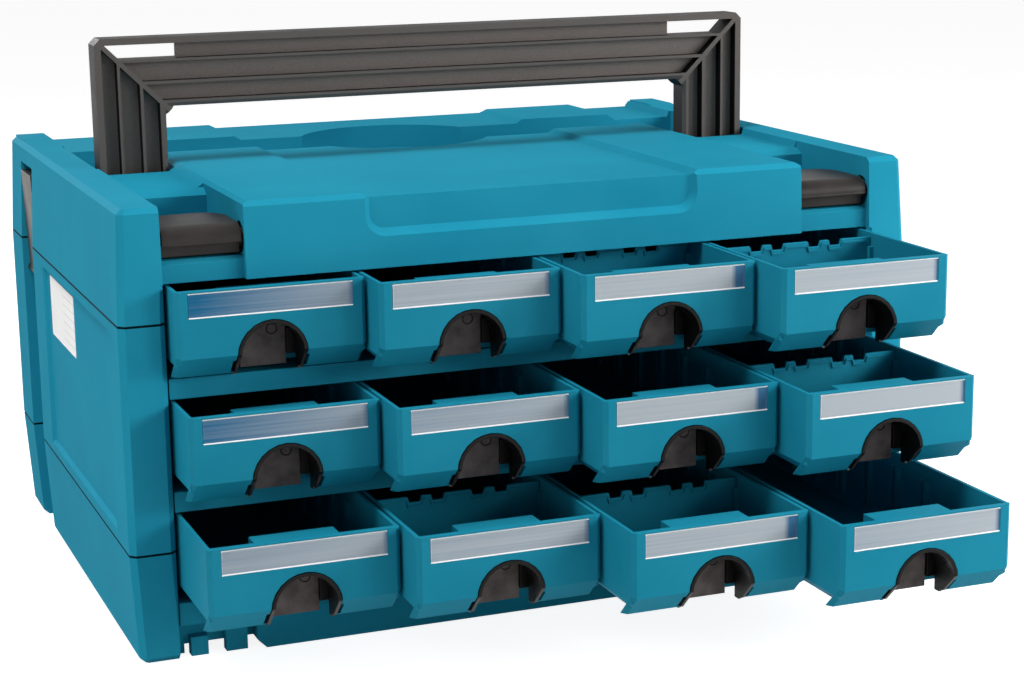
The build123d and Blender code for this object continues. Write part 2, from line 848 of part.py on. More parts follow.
# Drawer: tub, front panel with its sloping lip, housing for the pull and ribs for the dividers
with BuildPart() as drawer:
    with BuildSketch(Plane.YZ):
        Polygon(
            (0, 0),
            (0, -panel_face),
            (lip_reach, -panel_face - lip_drop),
            (lip_reach + lip_rise / lip_slope, -panel_face - lip_drop),
            (panel_wall, -panel_face - lip_slope * panel_wall + lip_rise),
            (panel_wall, 0),
            align=None,
        )
    extrude(amount=panel_width / 2, both=True)
    chamfer(drawer.edges().filter_by(runs_down_front), panel_bevel)
    with BuildSketch(Plane.XZ.offset(-panel_wall)):
        tub_section(drawer_width / 2, drawer_height, drawer_bevel, 0)
    extrude(amount=panel_wall - drawer_depth)
    add(drawer_hollow.part, mode=Mode.SUBTRACT)
    block((-housing_half, panel_wall, -drawer_height), (housing_half, housing_depth, -housing_drop))
    with BuildSketch(Plane.YZ):
        Polygon(
            (-overrun, -panel_face + lip_slope * overrun),
            (lip_reach, -panel_face - lip_drop),
            (lip_reach, -panel_face - lip_drop - overrun),
            (-overrun, -panel_face - lip_drop - overrun),
            align=None,
        )
    extrude(amount=panel_width, both=True, mode=Mode.SUBTRACT)
    block(
        (drawer_wall - housing_half, panel_wall, -drawer_height - overrun),
        (housing_half - drawer_wall, housing_depth - drawer_wall, -housing_drop - drawer_wall),
        Mode.SUBTRACT,
    )
    with BuildSketch(Plane.XZ.offset(overrun)):
        arch(pull_radius, 2 * pull_radius)
    extrude(amount=-2 * overrun - lip_reach - lip_wall * 2, mode=Mode.SUBTRACT)
    block(
        (-label_width / 2, -overrun, -label_top - label_height),
        (label_width / 2, label_pocket, -label_top),
        Mode.SUBTRACT,
    )
    for slot in range(slot_count):
        for rib_side in (1, -1):
            rib_y = slot_y + slot * slot_pitch + rib_side * (slot_width + slot_rib) / 2
            both_sides(
                (bin_inner_half - slot_reach, rib_y - slot_rib / 2, drawer_bevel - drawer_height),
                (bin_inner_half + drawer_wall / 2, rib_y + slot_rib / 2, -slot_top_drop),
            )

# Finger pull: a half-round insert with a back wall, springy legs and a foot under the lip on each leg
with BuildPart() as pull:
    arch_outer = pull_radius - fit_gap
    leg_foot = -panel_face - lip_drop
    leg_end = -pull_centre_drop - leg_foot
    leg_rear = pull_depth - pull_wall - pull_slit
    with BuildSketch(Plane.XZ.offset(pull_proud)):
        arch(arch_outer, leg_end)
    extrude(amount=-pull_proud - pull_depth)
    with BuildSketch(Plane.XZ.offset(pull_proud + overrun)):
        arch(arch_outer - pull_wall, leg_end + overrun)
    extrude(amount=pull_wall - pull_depth - pull_proud - overrun, mode=Mode.SUBTRACT)
    both_sides(
        (arch_outer - pull_wall, leg_rear - pull_foot_length, leg_foot - pull_foot),
        (arch_outer, leg_rear, leg_foot),
    )
    with BuildSketch(Plane.YZ):
        Polygon(
            (-pull_proud - overrun, -panel_face + lip_slope * overrun),
            (lip_reach - pull_proud, leg_foot),
            (lip_reach - pull_proud, leg_foot - overrun),
            (-pull_proud - overrun, leg_foot - overrun),
            align=None,
        )
    extrude(amount=panel_width, both=True, mode=Mode.SUBTRACT)
    both_sides(
        (pull_back_half, leg_rear, leg_foot - overrun),
        (arch_outer + overrun, pull_depth + overrun, leg_foot + pull_slit_height),
        Mode.SUBTRACT,
    )

# Clear label strip with a raised rim along its upper and lower edge
with BuildPart() as label_strip:
    strip_half = label_width / 2 - label_end_gap
    strip_high = -label_top - fit_gap
    strip_low = fit_gap - label_top - label_height
    strip_face = label_pocket / 3
    strip_back = label_pocket - fit_gap / 3
    with BuildSketch(Plane.YZ):
        Polygon(
            (0, strip_high),
            (0, strip_high - label_rim),
            (strip_face, strip_high - label_rim),
            (strip_face, strip_low + label_rim),
            (0, strip_low + label_rim),
            (0, strip_low),
            (strip_back, strip_low),
            (strip_back, strip_high),
            align=None,
        )
    extrude(amount=strip_half, both=True)

# Divider with two pairs of notches in its top edge
with BuildPart() as divider:
    divider_depth = bin_inner_depth - divider_gap
    with BuildSketch(Plane.XZ.offset(-slot_y)):
        tub_section(
            bin_inner_half - divider_gap,
            divider_depth,
            bin_inner_bevel,
            -divider_top_drop,
        )
        for notch_side in (1, -1):
            for tab_side in (1, -1):
                notch_width_one = (divider_notch_width - divider_tab) / 2
                notch_x = notch_side * divider_notch_spacing / 2
                notch_x += tab_side * (divider_tab + notch_width_one) / 2
                with Locations((notch_x, -divider_top_drop)):
                    Polygon(
                        (-notch_width_one / 2, 0),
                        (divider_notch_slope - notch_width_one / 2, -divider_notch_depth),
                        (notch_width_one / 2 - divider_notch_slope, -divider_notch_depth),
                        (notch_width_one / 2, 0),
                        align=None,
                        mode=Mode.SUBTRACT,
                    )
    extrude(amount=divider_wall / 2, both=True)


def save(part, name):
    """Label a piece and write it to its own file."""
    part.label = name
    export_step(part, f"parts/{name}.step")


os.makedirs("parts", exist_ok=True)
save(base_tray.part, "base_tray")
save(body_ring.part, "body_ring")
save(lid.part, "lid")
save(handle.part, "handle")
for side_name, side in (("left", -1), ("right", 1)):
    save(front_latch(side), f"latch_front_{side_name}")
    save(rear_latch(side), f"latch_rear_{side_name}")
    save(rack_side(side), f"rack_side_{side_name}")
for row, shelf_name in enumerate(("shelf_upper", "shelf_middle", "shelf_lower")):
    save(shelf(row), shelf_name)
for row in range(row_count):
    for column in range(column_count):
        opened = open_shares[row][column] * drawer_travel
        place = Location((column_x(column), closed_front - opened, rim_z(row)))
        drawer_name = f"r{row + 1}_c{column + 1}"
        save(drawer.part.moved(place), f"drawer_{drawer_name}")
        save(pull.part.moved(place), f"pull_{drawer_name}")
        save(label_strip.part.moved(place), f"label_strip_{drawer_name}")
        if divider_plan[row][column] == "d":
            save(divider.part.moved(place), f"divider_{drawer_name}")
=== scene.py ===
"""Looks of the stacking drawer case.

Finishes, label strips, ribs, pulls, handle, front latches, stage, light and camera.
"""

import math

import bmesh
import bpy
from mathutils import Matrix, Vector


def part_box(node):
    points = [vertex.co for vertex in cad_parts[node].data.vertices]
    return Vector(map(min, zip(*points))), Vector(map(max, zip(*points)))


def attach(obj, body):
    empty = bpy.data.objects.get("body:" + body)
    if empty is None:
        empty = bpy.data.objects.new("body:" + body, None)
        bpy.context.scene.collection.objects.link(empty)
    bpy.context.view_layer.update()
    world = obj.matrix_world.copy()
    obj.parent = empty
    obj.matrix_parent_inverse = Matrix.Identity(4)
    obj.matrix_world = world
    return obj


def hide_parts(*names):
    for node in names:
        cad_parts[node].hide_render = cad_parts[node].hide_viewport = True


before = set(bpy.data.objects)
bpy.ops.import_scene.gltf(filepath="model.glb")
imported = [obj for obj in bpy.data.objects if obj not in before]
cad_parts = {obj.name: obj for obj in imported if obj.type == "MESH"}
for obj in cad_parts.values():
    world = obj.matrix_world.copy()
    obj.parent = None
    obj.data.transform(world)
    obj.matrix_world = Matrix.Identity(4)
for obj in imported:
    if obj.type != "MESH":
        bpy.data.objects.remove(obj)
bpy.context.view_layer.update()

MM = 0.001

# Camera, fitted to the photograph: place in metres, turn in degrees
CAMERA_PLACE = (-0.37774, -1.08918, 0.35786)
CAMERA_YAW = 21.342
CAMERA_PITCH = 12.555
CAMERA_ROLL = -0.76
CAMERA_LENS = 77.53
CAMERA_SHIFT = (-0.0074, 0.0080)
CAMERA_CLIP = (0.05, 50.0)

# Soft boxes: name, place and size in metres, power in watts
LIGHT_AIM = (0.0, -0.08, 0.12)
SOFT_BOXES = (
    ("top", (0.0, 0.20, 1.90), (1.4, 1.4), 1.8),
    ("right", (0.90, -0.62, 0.48), (0.4, 0.4), 7.6),
    ("front_right", (0.70, -1.10, 0.50), (0.35, 0.35), 3.8),
    ("front_fill", (0.20, -1.50, 0.24), (0.9, 0.35), 2.2),
    ("left_high", (-0.60, -0.30, 1.40), (0.6, 0.6), 15.0),
    ("left_low", (-0.95, -0.16, 0.12), (0.8, 0.20), 1.7),
    ("rear", (-0.45, 1.65, 0.60), (0.6, 0.6), 9.0),
)

# Surroundings: light from all round, and the share of white that the floor shows by itself
AMBIENT = 0.12
FLOOR_GLOW = 0.88
FLOOR_SIZE = 6.0
FLOOR_ROUGHNESS = 0.9
WHITE = (1.0, 1.0, 1.0, 1.0)

# Colours of the finishes, as sRGB shares
TEAL = (0.110, 0.530, 0.640)
TEAL_LIGHT = (0.145, 0.565, 0.670)
DRAWER_DEEP = (0.085, 0.490, 0.590)
DRAWER_BRIGHT = (0.118, 0.520, 0.618)
# painted shade for the gaps at the seams between the shells
SEAM_SHADE = (0.030, 0.090, 0.110)
CHARCOAL = (0.345, 0.325, 0.313)
CHARCOAL_LIGHT = (0.450, 0.424, 0.408)
RIB_BROWN = (0.335, 0.315, 0.303)
# painted shade on the walls of the handle's grooves
WALL_SHADE_BLACK = (0.060, 0.054, 0.053)
LATCH_DARK = (0.140, 0.130, 0.127)
LATCH_LIGHT = (0.195, 0.182, 0.176)
# pull colours: near-black painted as shade on the sides, lighter browns painted as light and sheen on the
# back wall
PULL_SHADE_BLACK = (0.045, 0.040, 0.040)
PULL_RIM = (0.050, 0.044, 0.044)
# painted shade: near-black of the sheets put in the pull slits
SHADE_WEB_DARK = (0.020, 0.018, 0.018)
PULL_LIT_BROWN = (0.200, 0.180, 0.180)
PULL_SHEEN_BROWN = (0.390, 0.358, 0.356)
# label strips: pale card, painted blue reflections and painted white highlights
STRIP_PALE = (0.665, 0.695, 0.720)
STRIP_REFLECTION_BLUE = (0.040, 0.370, 0.530)
STRIP_REFLECTION_DEEP = (0.010, 0.350, 0.520)
STRIP_HIGHLIGHT_WHITE = (0.940, 0.945, 0.950)
PAPER_WHITE = (0.925, 0.920, 0.915)
PAPER_GREY = (0.640, 0.635, 0.640)
FLOOR_WHITE = (0.800, 0.800, 0.800)

# Mould texture: detail of its fine grain and broad mottle, and the part of a noise that is spread out
GRAIN_DETAIL = 3.0
GRAIN_HARSHNESS = 0.65
MOTTLE_DETAIL = 4.0
MOTTLE_HARSHNESS = 0.5
NOISE_SPREAD = (0.3, 0.7)
BUMP_STRENGTH = 0.6

# Handle finish: scales, gloss, where floors end and walls begin, and which faces count as walls painted
# near-black as shade
HANDLE_GRAIN = 0.55 * MM
HANDLE_MOTTLE = 25 * MM
HANDLE_BUMP = 0.10 * MM
HANDLE_GLOSS = (0.44, 0.56)
HANDLE_SPECULAR = 0.10
FLOOR_NEAR = 0.3 * MM
FLOOR_FAR = 1.0 * MM
SHADE_WALL_FACING = (0.30, 0.75)
STIPPLE_SPREAD = (0.25, 0.75)

# Pull finish: scales, gloss, what counts as facing the front and takes the painted light, and the dark rim
PULL_GRAIN = 0.5 * MM
PULL_MOTTLE = 9 * MM
PULL_BUMP = 0.03 * MM
PULL_GLOSS = (0.24, 0.48)
PULL_SPECULAR = 0.12
PULL_LIT_FACING = (0.15, 0.45)
RIM_NEAR = 0.8 * MM
RIM_FAR = 1.6 * MM

# Strip finish: streaks along the strip, gloss, and shares of its length and rim where the painted blue
# reflection and the painted white highlight change
STREAK_SCALE = (9.0, 1.0, 1100.0)
STREAK_DETAIL = 4.0
STREAK_REFLECTION = 0.10
STRIP_BUMP = 0.02 * MM
STRIP_GLOSS = (0.26, 0.40)
STRIP_SPECULAR = 0.14
REFLECTION_START = 0.05
REFLECTION_LEFT_OVER = 0.25
END_BLEND = 0.035
END_REFLECTION = 0.9
RIM_FADE = 0.85

# Paper finish: scales, gloss and the ruled lines
PAPER_GRAIN = 0.4 * MM
PAPER_MOTTLE = 12 * MM
PAPER_BUMP = 0.02 * MM
PAPER_GLOSS = (0.45, 0.60)
PAPER_SPECULAR = 0.5
RULE_HALF_PITCH = 2.2 * MM
RULE_CORE = 0.15 * MM
RULE_EDGE = 0.25 * MM
RULE_LENGTH = 30 * MM
RULE_FADE = 0.2 * MM
RULE_STRENGTH = 0.55

# Small radii on the edges of the mouldings
SHELL_ROUND = 0.45 * MM
DRAWER_ROUND = 0.30 * MM
HANDLE_ROUND = 0.45 * MM
SMALL_ROUND = 0.25 * MM
STRIP_ROUND = 0.15 * MM
ROUND_SEGMENTS = 2
SMOOTH_LIMIT = math.radians(28)

# Limits under which points are one point and faces are flat
TOUCH = 0.001 * MM
WELD_REACH = 0.002 * MM
FLAT_LIMIT = math.radians(0.5)

# More than the points of any mesh that is put in order
ORDER_STEP = 10000

# Turn that lays a round shape along the width of the case
ACROSS = Matrix.Rotation(math.pi / 2, 4, "Y")

# Heights of the two seams between the shells, and the painted shade line in the gap at each
SEAM_HEIGHTS = (52.5 * MM, 157.5 * MM)
SEAM_CORE = 0.40 * MM
SEAM_EDGE = 0.70 * MM

# Handle: outline, insets of its nested grooves from the outer edge, and the openings beside its corners
HANDLE_HALF = 176.0 * MM
HANDLE_BAND = 34.4 * MM
HANDLE_CORNER = 3.0 * MM
HANDLE_GUSSET = 4.0 * MM
GROOVES = ((3.3 * MM, 10.7 * MM), (12.1 * MM, 21.6 * MM), (23.2 * MM, 31.2 * MM))
GROOVE_DEPTH = 5.8 * MM
MITRE_RIB = 1.7 * MM
WINDOW_END = 41.4 * MM
INNER_CHAMFER = 1.8 * MM
TRUNNION_RADIUS = 4.0 * MM
TRUNNION_SEGMENTS = 32

# Front latch: plate that lies back, and the finger roll along its front with a setback under it
LATCH_PLATE = 5.0 * MM
LATCH_PIN = 2.6 * MM
LATCH_HOOK = 3.0 * MM
LATCH_CORNER = 12.0 * MM
LATCH_CORNER_SEGMENTS = 8
LATCH_PIN_RADIUS = 4.2 * MM
LATCH_SEGMENTS = 40
ROLL_UNDER = 0.16
ROLL_SETBACK = 0.38

# Label strip: how far it reaches past its solid, its rim and its dip
STRIP_END = 0.65 * MM
STRIP_EDGE = 0.20 * MM
STRIP_RIM = 0.60 * MM
STRIP_DIP = 0.45 * MM

# Strength of the painted blue reflection on the label strips at their left end by row and column, and length
# of the painted blue reflection at the right end by column
STRIP_LEFT_REFLECTION = ((1.00, 0.14, 0.03, 0.02), (0.88, 0.30, 0.06, 0.03), (0.30, 0.15, 0.12, 0.20))
STRIP_RIGHT_REFLECTION = (0.030, 0.035, 0.090, 0.035)

# Dark sheet beside the back wall of a pull, put in the slits as painted shade
SHADE_WEB_INNER = 10.6 * MM
SHADE_WEB_OUTER = 15.8 * MM
SHADE_WEB_FRONT = 3.5 * MM
SHADE_WEB_REAR = 0.1 * MM
SHADE_WEB_TOP = 8.0 * MM
SHADE_WEB_FOOT = 19.8 * MM

# Drawers: their grid, and the width and wall of each one's box
ROW_COUNT = 3
COLUMN_COUNT = 4
DRAWER_WIDTH = 86.6 * MM
DRAWER_WALL = 1.8 * MM

# Ribs for more dividers, behind the slots of the drawers
RIB_FIRST = 121.8 * MM
RIB_PITCH = 26.4 * MM
RIB_PLACES = 5
RIB_WIDTH = 2.4 * MM
RIB_GAP = 2.6 * MM
RIB_REACH = 2.4 * MM
RIB_TOP = -6.5 * MM
RIB_FOOT = -33.5 * MM
RIB_BEVEL = 1.6 * MM
RIB_EMBED = 0.4 * MM

# Raised bead under the notched top edge of a divider
BEAD_DROP = 1.3 * MM
BEAD_HEIGHT = 1.0 * MM
BEAD_PROUD = 0.65 * MM
BEAD_END = 39.0 * MM
NOTCH_PLACES = (-21.5 * MM, -10.0 * MM, 10.0 * MM, 21.5 * MM)
NOTCH_HALF_TOP = 3.5 * MM
NOTCH_HALF_FOOT = 2.7 * MM
NOTCH_DEPTH = 2.8 * MM

# Round mould mark on the back wall of a pull
MARK_PLACE = (4.4 * MM, 18.9 * MM, -23.6 * MM)
MARK_RADIUS = 2.4 * MM
MARK_TUBE = 0.30 * MM
MARK_TUBE_SEGMENTS = 6
MARK_STEPS = 24

# Blank label on the left side of the case
LABEL_FRONT = -27.3 * MM
LABEL_REAR = 37.9 * MM
LABEL_LOW = 118.6 * MM
LABEL_HIGH = 149.6 * MM
LABEL_PLANE = -196.2 * MM
LABEL_THICKNESS = 0.15 * MM
LABEL_CORNER = 1.5 * MM
LABEL_CORNER_SEGMENTS = 4

# Sockets of Blender's colour mix node
MIX_FACTOR, MIX_FIRST, MIX_SECOND, MIX_RESULT = 0, 6, 7, 2


def linear(colour):
    """Scene-linear colour with full alpha from sRGB shares."""
    shares = (c / 12.92 if c <= 0.04045 else ((c + 0.055) / 1.055) ** 2.4 for c in colour)
    return tuple(shares) + (1.0,)


def add_node(tree, kind, place, **settings):
    """New node at a place in the node editor, with its settings."""
    node = tree.nodes.new(kind)
    node.location = place
    for name, value in settings.items():
        setattr(node, name, value)
    return node


def split_axes(tree, vector, place):
    """The X, Y and Z of a vector."""
    split = add_node(tree, "ShaderNodeSeparateXYZ", place)
    tree.links.new(vector, split.inputs["Vector"])
    return split.outputs


def join_values(tree, operation, first, second, place, clamp=False):
    """Two values joined by a math operation."""
    join = add_node(tree, "ShaderNodeMath", place, operation=operation, use_clamp=clamp)
    tree.links.new(first, join.inputs[0])
    tree.links.new(second, join.inputs[1])
    return join.outputs[0]


def mix_colours(tree, factor, first, second, place):
    """Mix of two colours by a factor, where each colour is a fixed one or a node's output."""
    mix = add_node(tree, "ShaderNodeMix", place, data_type="RGBA")
    tree.links.new(factor, mix.inputs[MIX_FACTOR])
    for socket, colour in ((MIX_FIRST, first), (MIX_SECOND, second)):
        if isinstance(colour, tuple):
            mix.inputs[socket].default_value = linear(colour)
        else:
            tree.links.new(colour, mix.inputs[socket])
    return mix.outputs[MIX_RESULT]


def spread_values(tree, value, low, high, place, start=0.0, stop=1.0):
    """Map a value between two limits to a range."""
    spread = add_node(tree, "ShaderNodeMapRange", place)
    spread.inputs["From Min"].default_value = start
    spread.inputs["From Max"].default_value = stop
    spread.inputs["To Min"].default_value = low
    spread.inputs["To Max"].default_value = high
    tree.links.new(value, spread.inputs["Value"])
    return spread.outputs["Result"]


def near_value(tree, value, middle, core, edge, place):
    """One where a value lies close to a middle, and zero past an edge."""
    offset = add_node(tree, "ShaderNodeMath", place, operation="SUBTRACT")
    offset.inputs[1].default_value = middle
    tree.links.new(value, offset.inputs[0])
    reach = add_node(tree, "ShaderNodeMath", (place[0] + 160, place[1]), operation="ABSOLUTE")
    tree.links.new(offset.outputs[0], reach.inputs[0])
    return spread_values(tree, reach.outputs[0], 1.0, 0.0, (place[0] + 320, place[1]), core, edge)


def new_group(name, inputs, outputs):
    """Shader node group with a vector, float inputs and float outputs, and its two end nodes."""
    group = bpy.data.node_groups.new(name, "ShaderNodeTree")
    group.interface.new_socket("Vector", in_out="INPUT", socket_type="NodeSocketVector")
    for label, value in inputs:
        socket = group.interface.new_socket(label, in_out="INPUT", socket_type="NodeSocketFloat")
        socket.default_value = value
    for label in outputs:
        group.interface.new_socket(label, in_out="OUTPUT", socket_type="NodeSocketFloat")
    start = add_node(group, "NodeGroupInput", (-800, 0))
    end = add_node(group, "NodeGroupOutput", (600, 0))
    return group, start, end


def sized_noise(group, start, label, detail, harshness, height):
    """Noise in a group, at the size that one of the group's inputs gives."""
    scale = add_node(group, "ShaderNodeMath", (-560, height), operation="DIVIDE")
    scale.inputs[0].default_value = 1.0
    group.links.new(start.outputs[label], scale.inputs[1])
    noise = add_node(group, "ShaderNodeTexNoise", (-340, height))
    noise.inputs["Detail"].default_value = detail
    noise.inputs["Roughness"].default_value = harshness
    group.links.new(start.outputs["Vector"], noise.inputs["Vector"])
    group.links.new(scale.outputs[0], noise.inputs["Scale"])
    return noise.outputs["Fac"]


def moulded_grain():
    """Spark-eroded mould texture: a fine grain for the bump and a broad mottle for colour and gloss."""
    group, start, end = new_group(
        "moulded_grain",
        (("Grain Size", 0.6 * MM), ("Mottle Size", 30 * MM)),
        ("Height", "Mottle"),
    )
    grain = sized_noise(group, start, "Grain Size", GRAIN_DETAIL, GRAIN_HARSHNESS, 160)
    mottle = sized_noise(group, start, "Mottle Size", MOTTLE_DETAIL, MOTTLE_HARSHNESS, -160)
    spread = spread_values(group, mottle, 0.0, 1.0, (-100, -160), *NOISE_SPREAD)
    group.links.new(grain, end.inputs["Height"])
    group.links.new(spread, end.inputs["Mottle"])
    return group


GRAIN = moulded_grain()


def new_finish(name):
    """New material with its shader and texture coordinates."""
    material = bpy.data.materials.new(name)
    material.use_nodes = True
    tree = material.node_tree
    coords = add_node(tree, "ShaderNodeTexCoord", (-1200, 0))
    return material, tree, tree.nodes["Principled BSDF"], coords


def mould_texture(tree, coords, grain_size, mottle_size):
    """Height and mottle of the mould texture at a finish's own scale."""
    texture = add_node(tree, "ShaderNodeGroup", (-900, 0), node_tree=GRAIN)
    texture.inputs["Grain Size"].default_value = grain_size
    texture.inputs["Mottle Size"].default_value = mottle_size
    tree.links.new(coords.outputs["Object"], texture.inputs["Vector"])
    return texture.outputs["Height"], texture.outputs["Mottle"]


def set_surface(tree, shader, tint, height, depth, shine, gloss, specular):
    """Colour, bump of a depth, gloss that varies between two limits, and reflection of a finish."""
    tree.links.new(tint, shader.inputs["Base Color"])
    tree.links.new(spread_values(tree, shine, *gloss, (-480, -60)), shader.inputs["Roughness"])
    bump = add_node(tree, "ShaderNodeBump", (-480, -320))
    bump.inputs["Strength"].default_value = BUMP_STRENGTH
    bump.inputs["Distance"].default_value = depth
    tree.links.new(height, bump.inputs["Height"])
    tree.links.new(bump.outputs["Normal"], shader.inputs["Normal"])
    shader.inputs["Specular IOR Level"].default_value = specular


def seam_shade_lines(tree, coords, tint):
    """Painted shade: dark lines in the gaps where one shell stands on the next."""
    z = split_axes(tree, coords.outputs["Object"], (-1100, 700))["Z"]
    low, high = (
        near_value(tree, z, seam, SEAM_CORE, SEAM_EDGE, (-900, 700 + 220 * place))
        for place, seam in enumerate(SEAM_HEIGHTS)
    )
    either = join_values(tree, "MAXIMUM", low, high, (-380, 700))
    return mix_colours(tree, either, tint, SEAM_SHADE, (-200, 400))


def moulded_plastic(
    name, dark, light, roughness, grain_size, grain_depth, mottle_size, specular, unevenness=0.05, seam_shade=False
):
    """Moulded plastic with a fine grain, a faint mottle and a gloss that varies a little, with painted shade
    lines at the seams where asked.
    """
    material, tree, shader, coords = new_finish(name)
    height, mottle = mould_texture(tree, coords, grain_size, mottle_size)
    tint = mix_colours(tree, mottle, dark, light, (-480, 200))
    # painted shade in the seam gaps
    if seam_shade:
        tint = seam_shade_lines(tree, coords, tint)
    gloss = (roughness - unevenness, roughness + unevenness)
    set_surface(tree, shader, tint, height, grain_depth, mottle, gloss, specular)
    return material


def handle_plastic():
    """Charcoal handle: stippled floors of the grooves, smooth ribs, and walls between them painted near-black
    as shade.
    """
    low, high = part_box("handle")
    middle = (low.y + high.y) / 2
    reach = (high.y - low.y) / 2 - GROOVE_DEPTH
    material, tree, shader, coords = new_finish("handle_charcoal")
    height, mottle = mould_texture(tree, coords, HANDLE_GRAIN, HANDLE_MOTTLE)
    y = split_axes(tree, coords.outputs["Object"], (-1100, 420))["Y"]
    floor = near_value(tree, y, middle, reach + FLOOR_NEAR, reach + FLOOR_FAR, (-920, 420))
    facing = split_axes(tree, coords.outputs["Normal"], (-1100, 640))["Y"]
    upright = near_value(tree, facing, 0.0, *SHADE_WALL_FACING, (-920, 640))
    stipple = spread_values(tree, height, 0.0, 1.0, (-700, 120), *STIPPLE_SPREAD)
    floor_tint = mix_colours(tree, stipple, CHARCOAL, CHARCOAL_LIGHT, (-480, 120))
    tint = mix_colours(tree, floor, RIB_BROWN, floor_tint, (-260, 300))
    # painted shade: upright walls of the grooves turn near-black
    tint = mix_colours(tree, upright, tint, WALL_SHADE_BLACK, (-60, 300))
    set_surface(tree, shader, tint, height, HANDLE_BUMP, mottle, HANDLE_GLOSS, HANDLE_SPECULAR)
    return material


def pull_plastic(key):
    """Dark glossy pull: the front-facing back wall painted lighter brown with blotches of painted sheen, the
    sides painted black as shade, and a dark rim at the front.
    """
    front_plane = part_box("pull_" + key)[0].y
    material, tree, shader, coords = new_finish(f"pull_{key}_finish")
    height, mottle = mould_texture(tree, coords, PULL_GRAIN, PULL_MOTTLE)
    facing = split_axes(tree, coords.outputs["Normal"], (-1100, 640))["Y"]
    front = near_value(tree, facing, -1.0, *PULL_LIT_FACING, (-920, 640))
    # painted light and sheen on the back wall, painted shade on the sides
    lit_wall_tint = mix_colours(tree, mottle, PULL_LIT_BROWN, PULL_SHEEN_BROWN, (-480, 200))
    tint = mix_colours(tree, front, PULL_SHADE_BLACK, lit_wall_tint, (-260, 300))
    y = split_axes(tree, coords.outputs["Object"], (-1100, 420))["Y"]
    rim = spread_values(tree, y, 1.0, 0.0, (-920, 420), front_plane + RIM_NEAR, front_plane + RIM_FAR)
    tint = mix_colours(tree, rim, tint, PULL_RIM, (-60, 300))
    set_surface(tree, shader, tint, height, PULL_BUMP, mottle, PULL_GLOSS, PULL_SPECULAR)
    return material


def drawer_key(row, column):
    """End of the names that belong to one drawer."""
    return f"r{row + 1}_c{column + 1}"


def strip_box(key):
    """Corners of a label strip, which fills its pocket."""
    low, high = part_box("label_strip_" + key)
    reach = Vector((STRIP_END, 0.0, STRIP_EDGE))
    return low - reach, high + reach


def strip_streaks(tree, coords):
    """Fine streaks along a label strip."""
    squeeze = add_node(tree, "ShaderNodeMapping", (-900, -320))
    squeeze.inputs["Scale"].default_value = STREAK_SCALE
    tree.links.new(coords.outputs["Object"], squeeze.inputs["Vector"])
    streaks = add_node(tree, "ShaderNodeTexNoise", (-700, -320))
    streaks.inputs["Scale"].default_value = 1.0
    streaks.inputs["Detail"].default_value = STREAK_DETAIL
    tree.links.new(squeeze.outputs["Vector"], streaks.inputs["Vector"])
    return streaks.outputs["Fac"]


def strip_plastic(row, column):
    """Clear label strip over a pale card: fine streaks along it, painted white highlights on the rim above
    and below, painted blue reflections at its ends.
    """
    key = drawer_key(row, column)
    low, high = strip_box(key)
    length = high.x - low.x
    half = (high.z - low.z) / 2
    reflection = STRIP_LEFT_REFLECTION[row][column]
    reflection_start = low.x + REFLECTION_START * length
    end_start = high.x - STRIP_RIGHT_REFLECTION[column] * length
    end_stop = end_start + END_BLEND * length
    material, tree, shader, coords = new_finish(f"label_strip_{key}_finish")
    axes = split_axes(tree, coords.outputs["Object"], (-1100, 400))
    streaks = strip_streaks(tree, coords)
    # the streaks also vary the painted blue reflection
    streak = spread_values(tree, streaks, -STREAK_REFLECTION, STREAK_REFLECTION, (-520, -320), *NOISE_SPREAD)
    left = spread_values(tree, axes["X"], reflection, REFLECTION_LEFT_OVER * reflection, (-700, 520), reflection_start, high.x)
    reflection_share = join_values(tree, "ADD", left, streak, (-340, 420), clamp=True)
    tint = mix_colours(tree, reflection_share, STRIP_PALE, STRIP_REFLECTION_BLUE, (-180, 420))
    end_reflection = spread_values(tree, axes["X"], 0.0, END_REFLECTION, (-700, 300), end_start, end_stop)
    tint = mix_colours(tree, end_reflection, tint, STRIP_REFLECTION_DEEP, (-20, 420))
    inside = near_value(
        tree, axes["Z"], low.z + half, half - STRIP_RIM, half - RIM_FADE * STRIP_RIM, (-1100, 900)
    )
    # painted highlight: white along the rim above and below
    tint = mix_colours(tree, inside, STRIP_HIGHLIGHT_WHITE, tint, (160, 420))
    set_surface(tree, shader, tint, streaks, STRIP_BUMP, streaks, STRIP_GLOSS, STRIP_SPECULAR)
    return material


def label_paper():
    """Blank white paper label with faint ruled lines."""
    material, tree, shader, coords = new_finish("side_label_paper")
    height, mottle = mould_texture(tree, coords, PAPER_GRAIN, PAPER_MOTTLE)
    axes = split_axes(tree, coords.outputs["Object"], (-900, 320))
    lines = add_node(tree, "ShaderNodeMath", (-720, 320), operation="PINGPONG")
    lines.inputs[1].default_value = RULE_HALF_PITCH
    tree.links.new(axes["Z"], lines.inputs[0])
    ruled = spread_values(tree, lines.outputs[0], 1.0, 0.0, (-560, 320), RULE_CORE, RULE_EDGE)
    line_end = LABEL_FRONT + RULE_LENGTH
    within = spread_values(tree, axes["Y"], 1.0, 0.0, (-720, 520), line_end, line_end + RULE_FADE)
    short = join_values(tree, "MULTIPLY", ruled, within, (-400, 320))
    faint = spread_values(tree, short, 0.0, RULE_STRENGTH, (-240, 320))
    tint = mix_colours(tree, faint, PAPER_WHITE, PAPER_GREY, (-80, 320))
    set_surface(tree, shader, tint, height, PAPER_BUMP, mottle, PAPER_GLOSS, PAPER_SPECULAR)
    return material


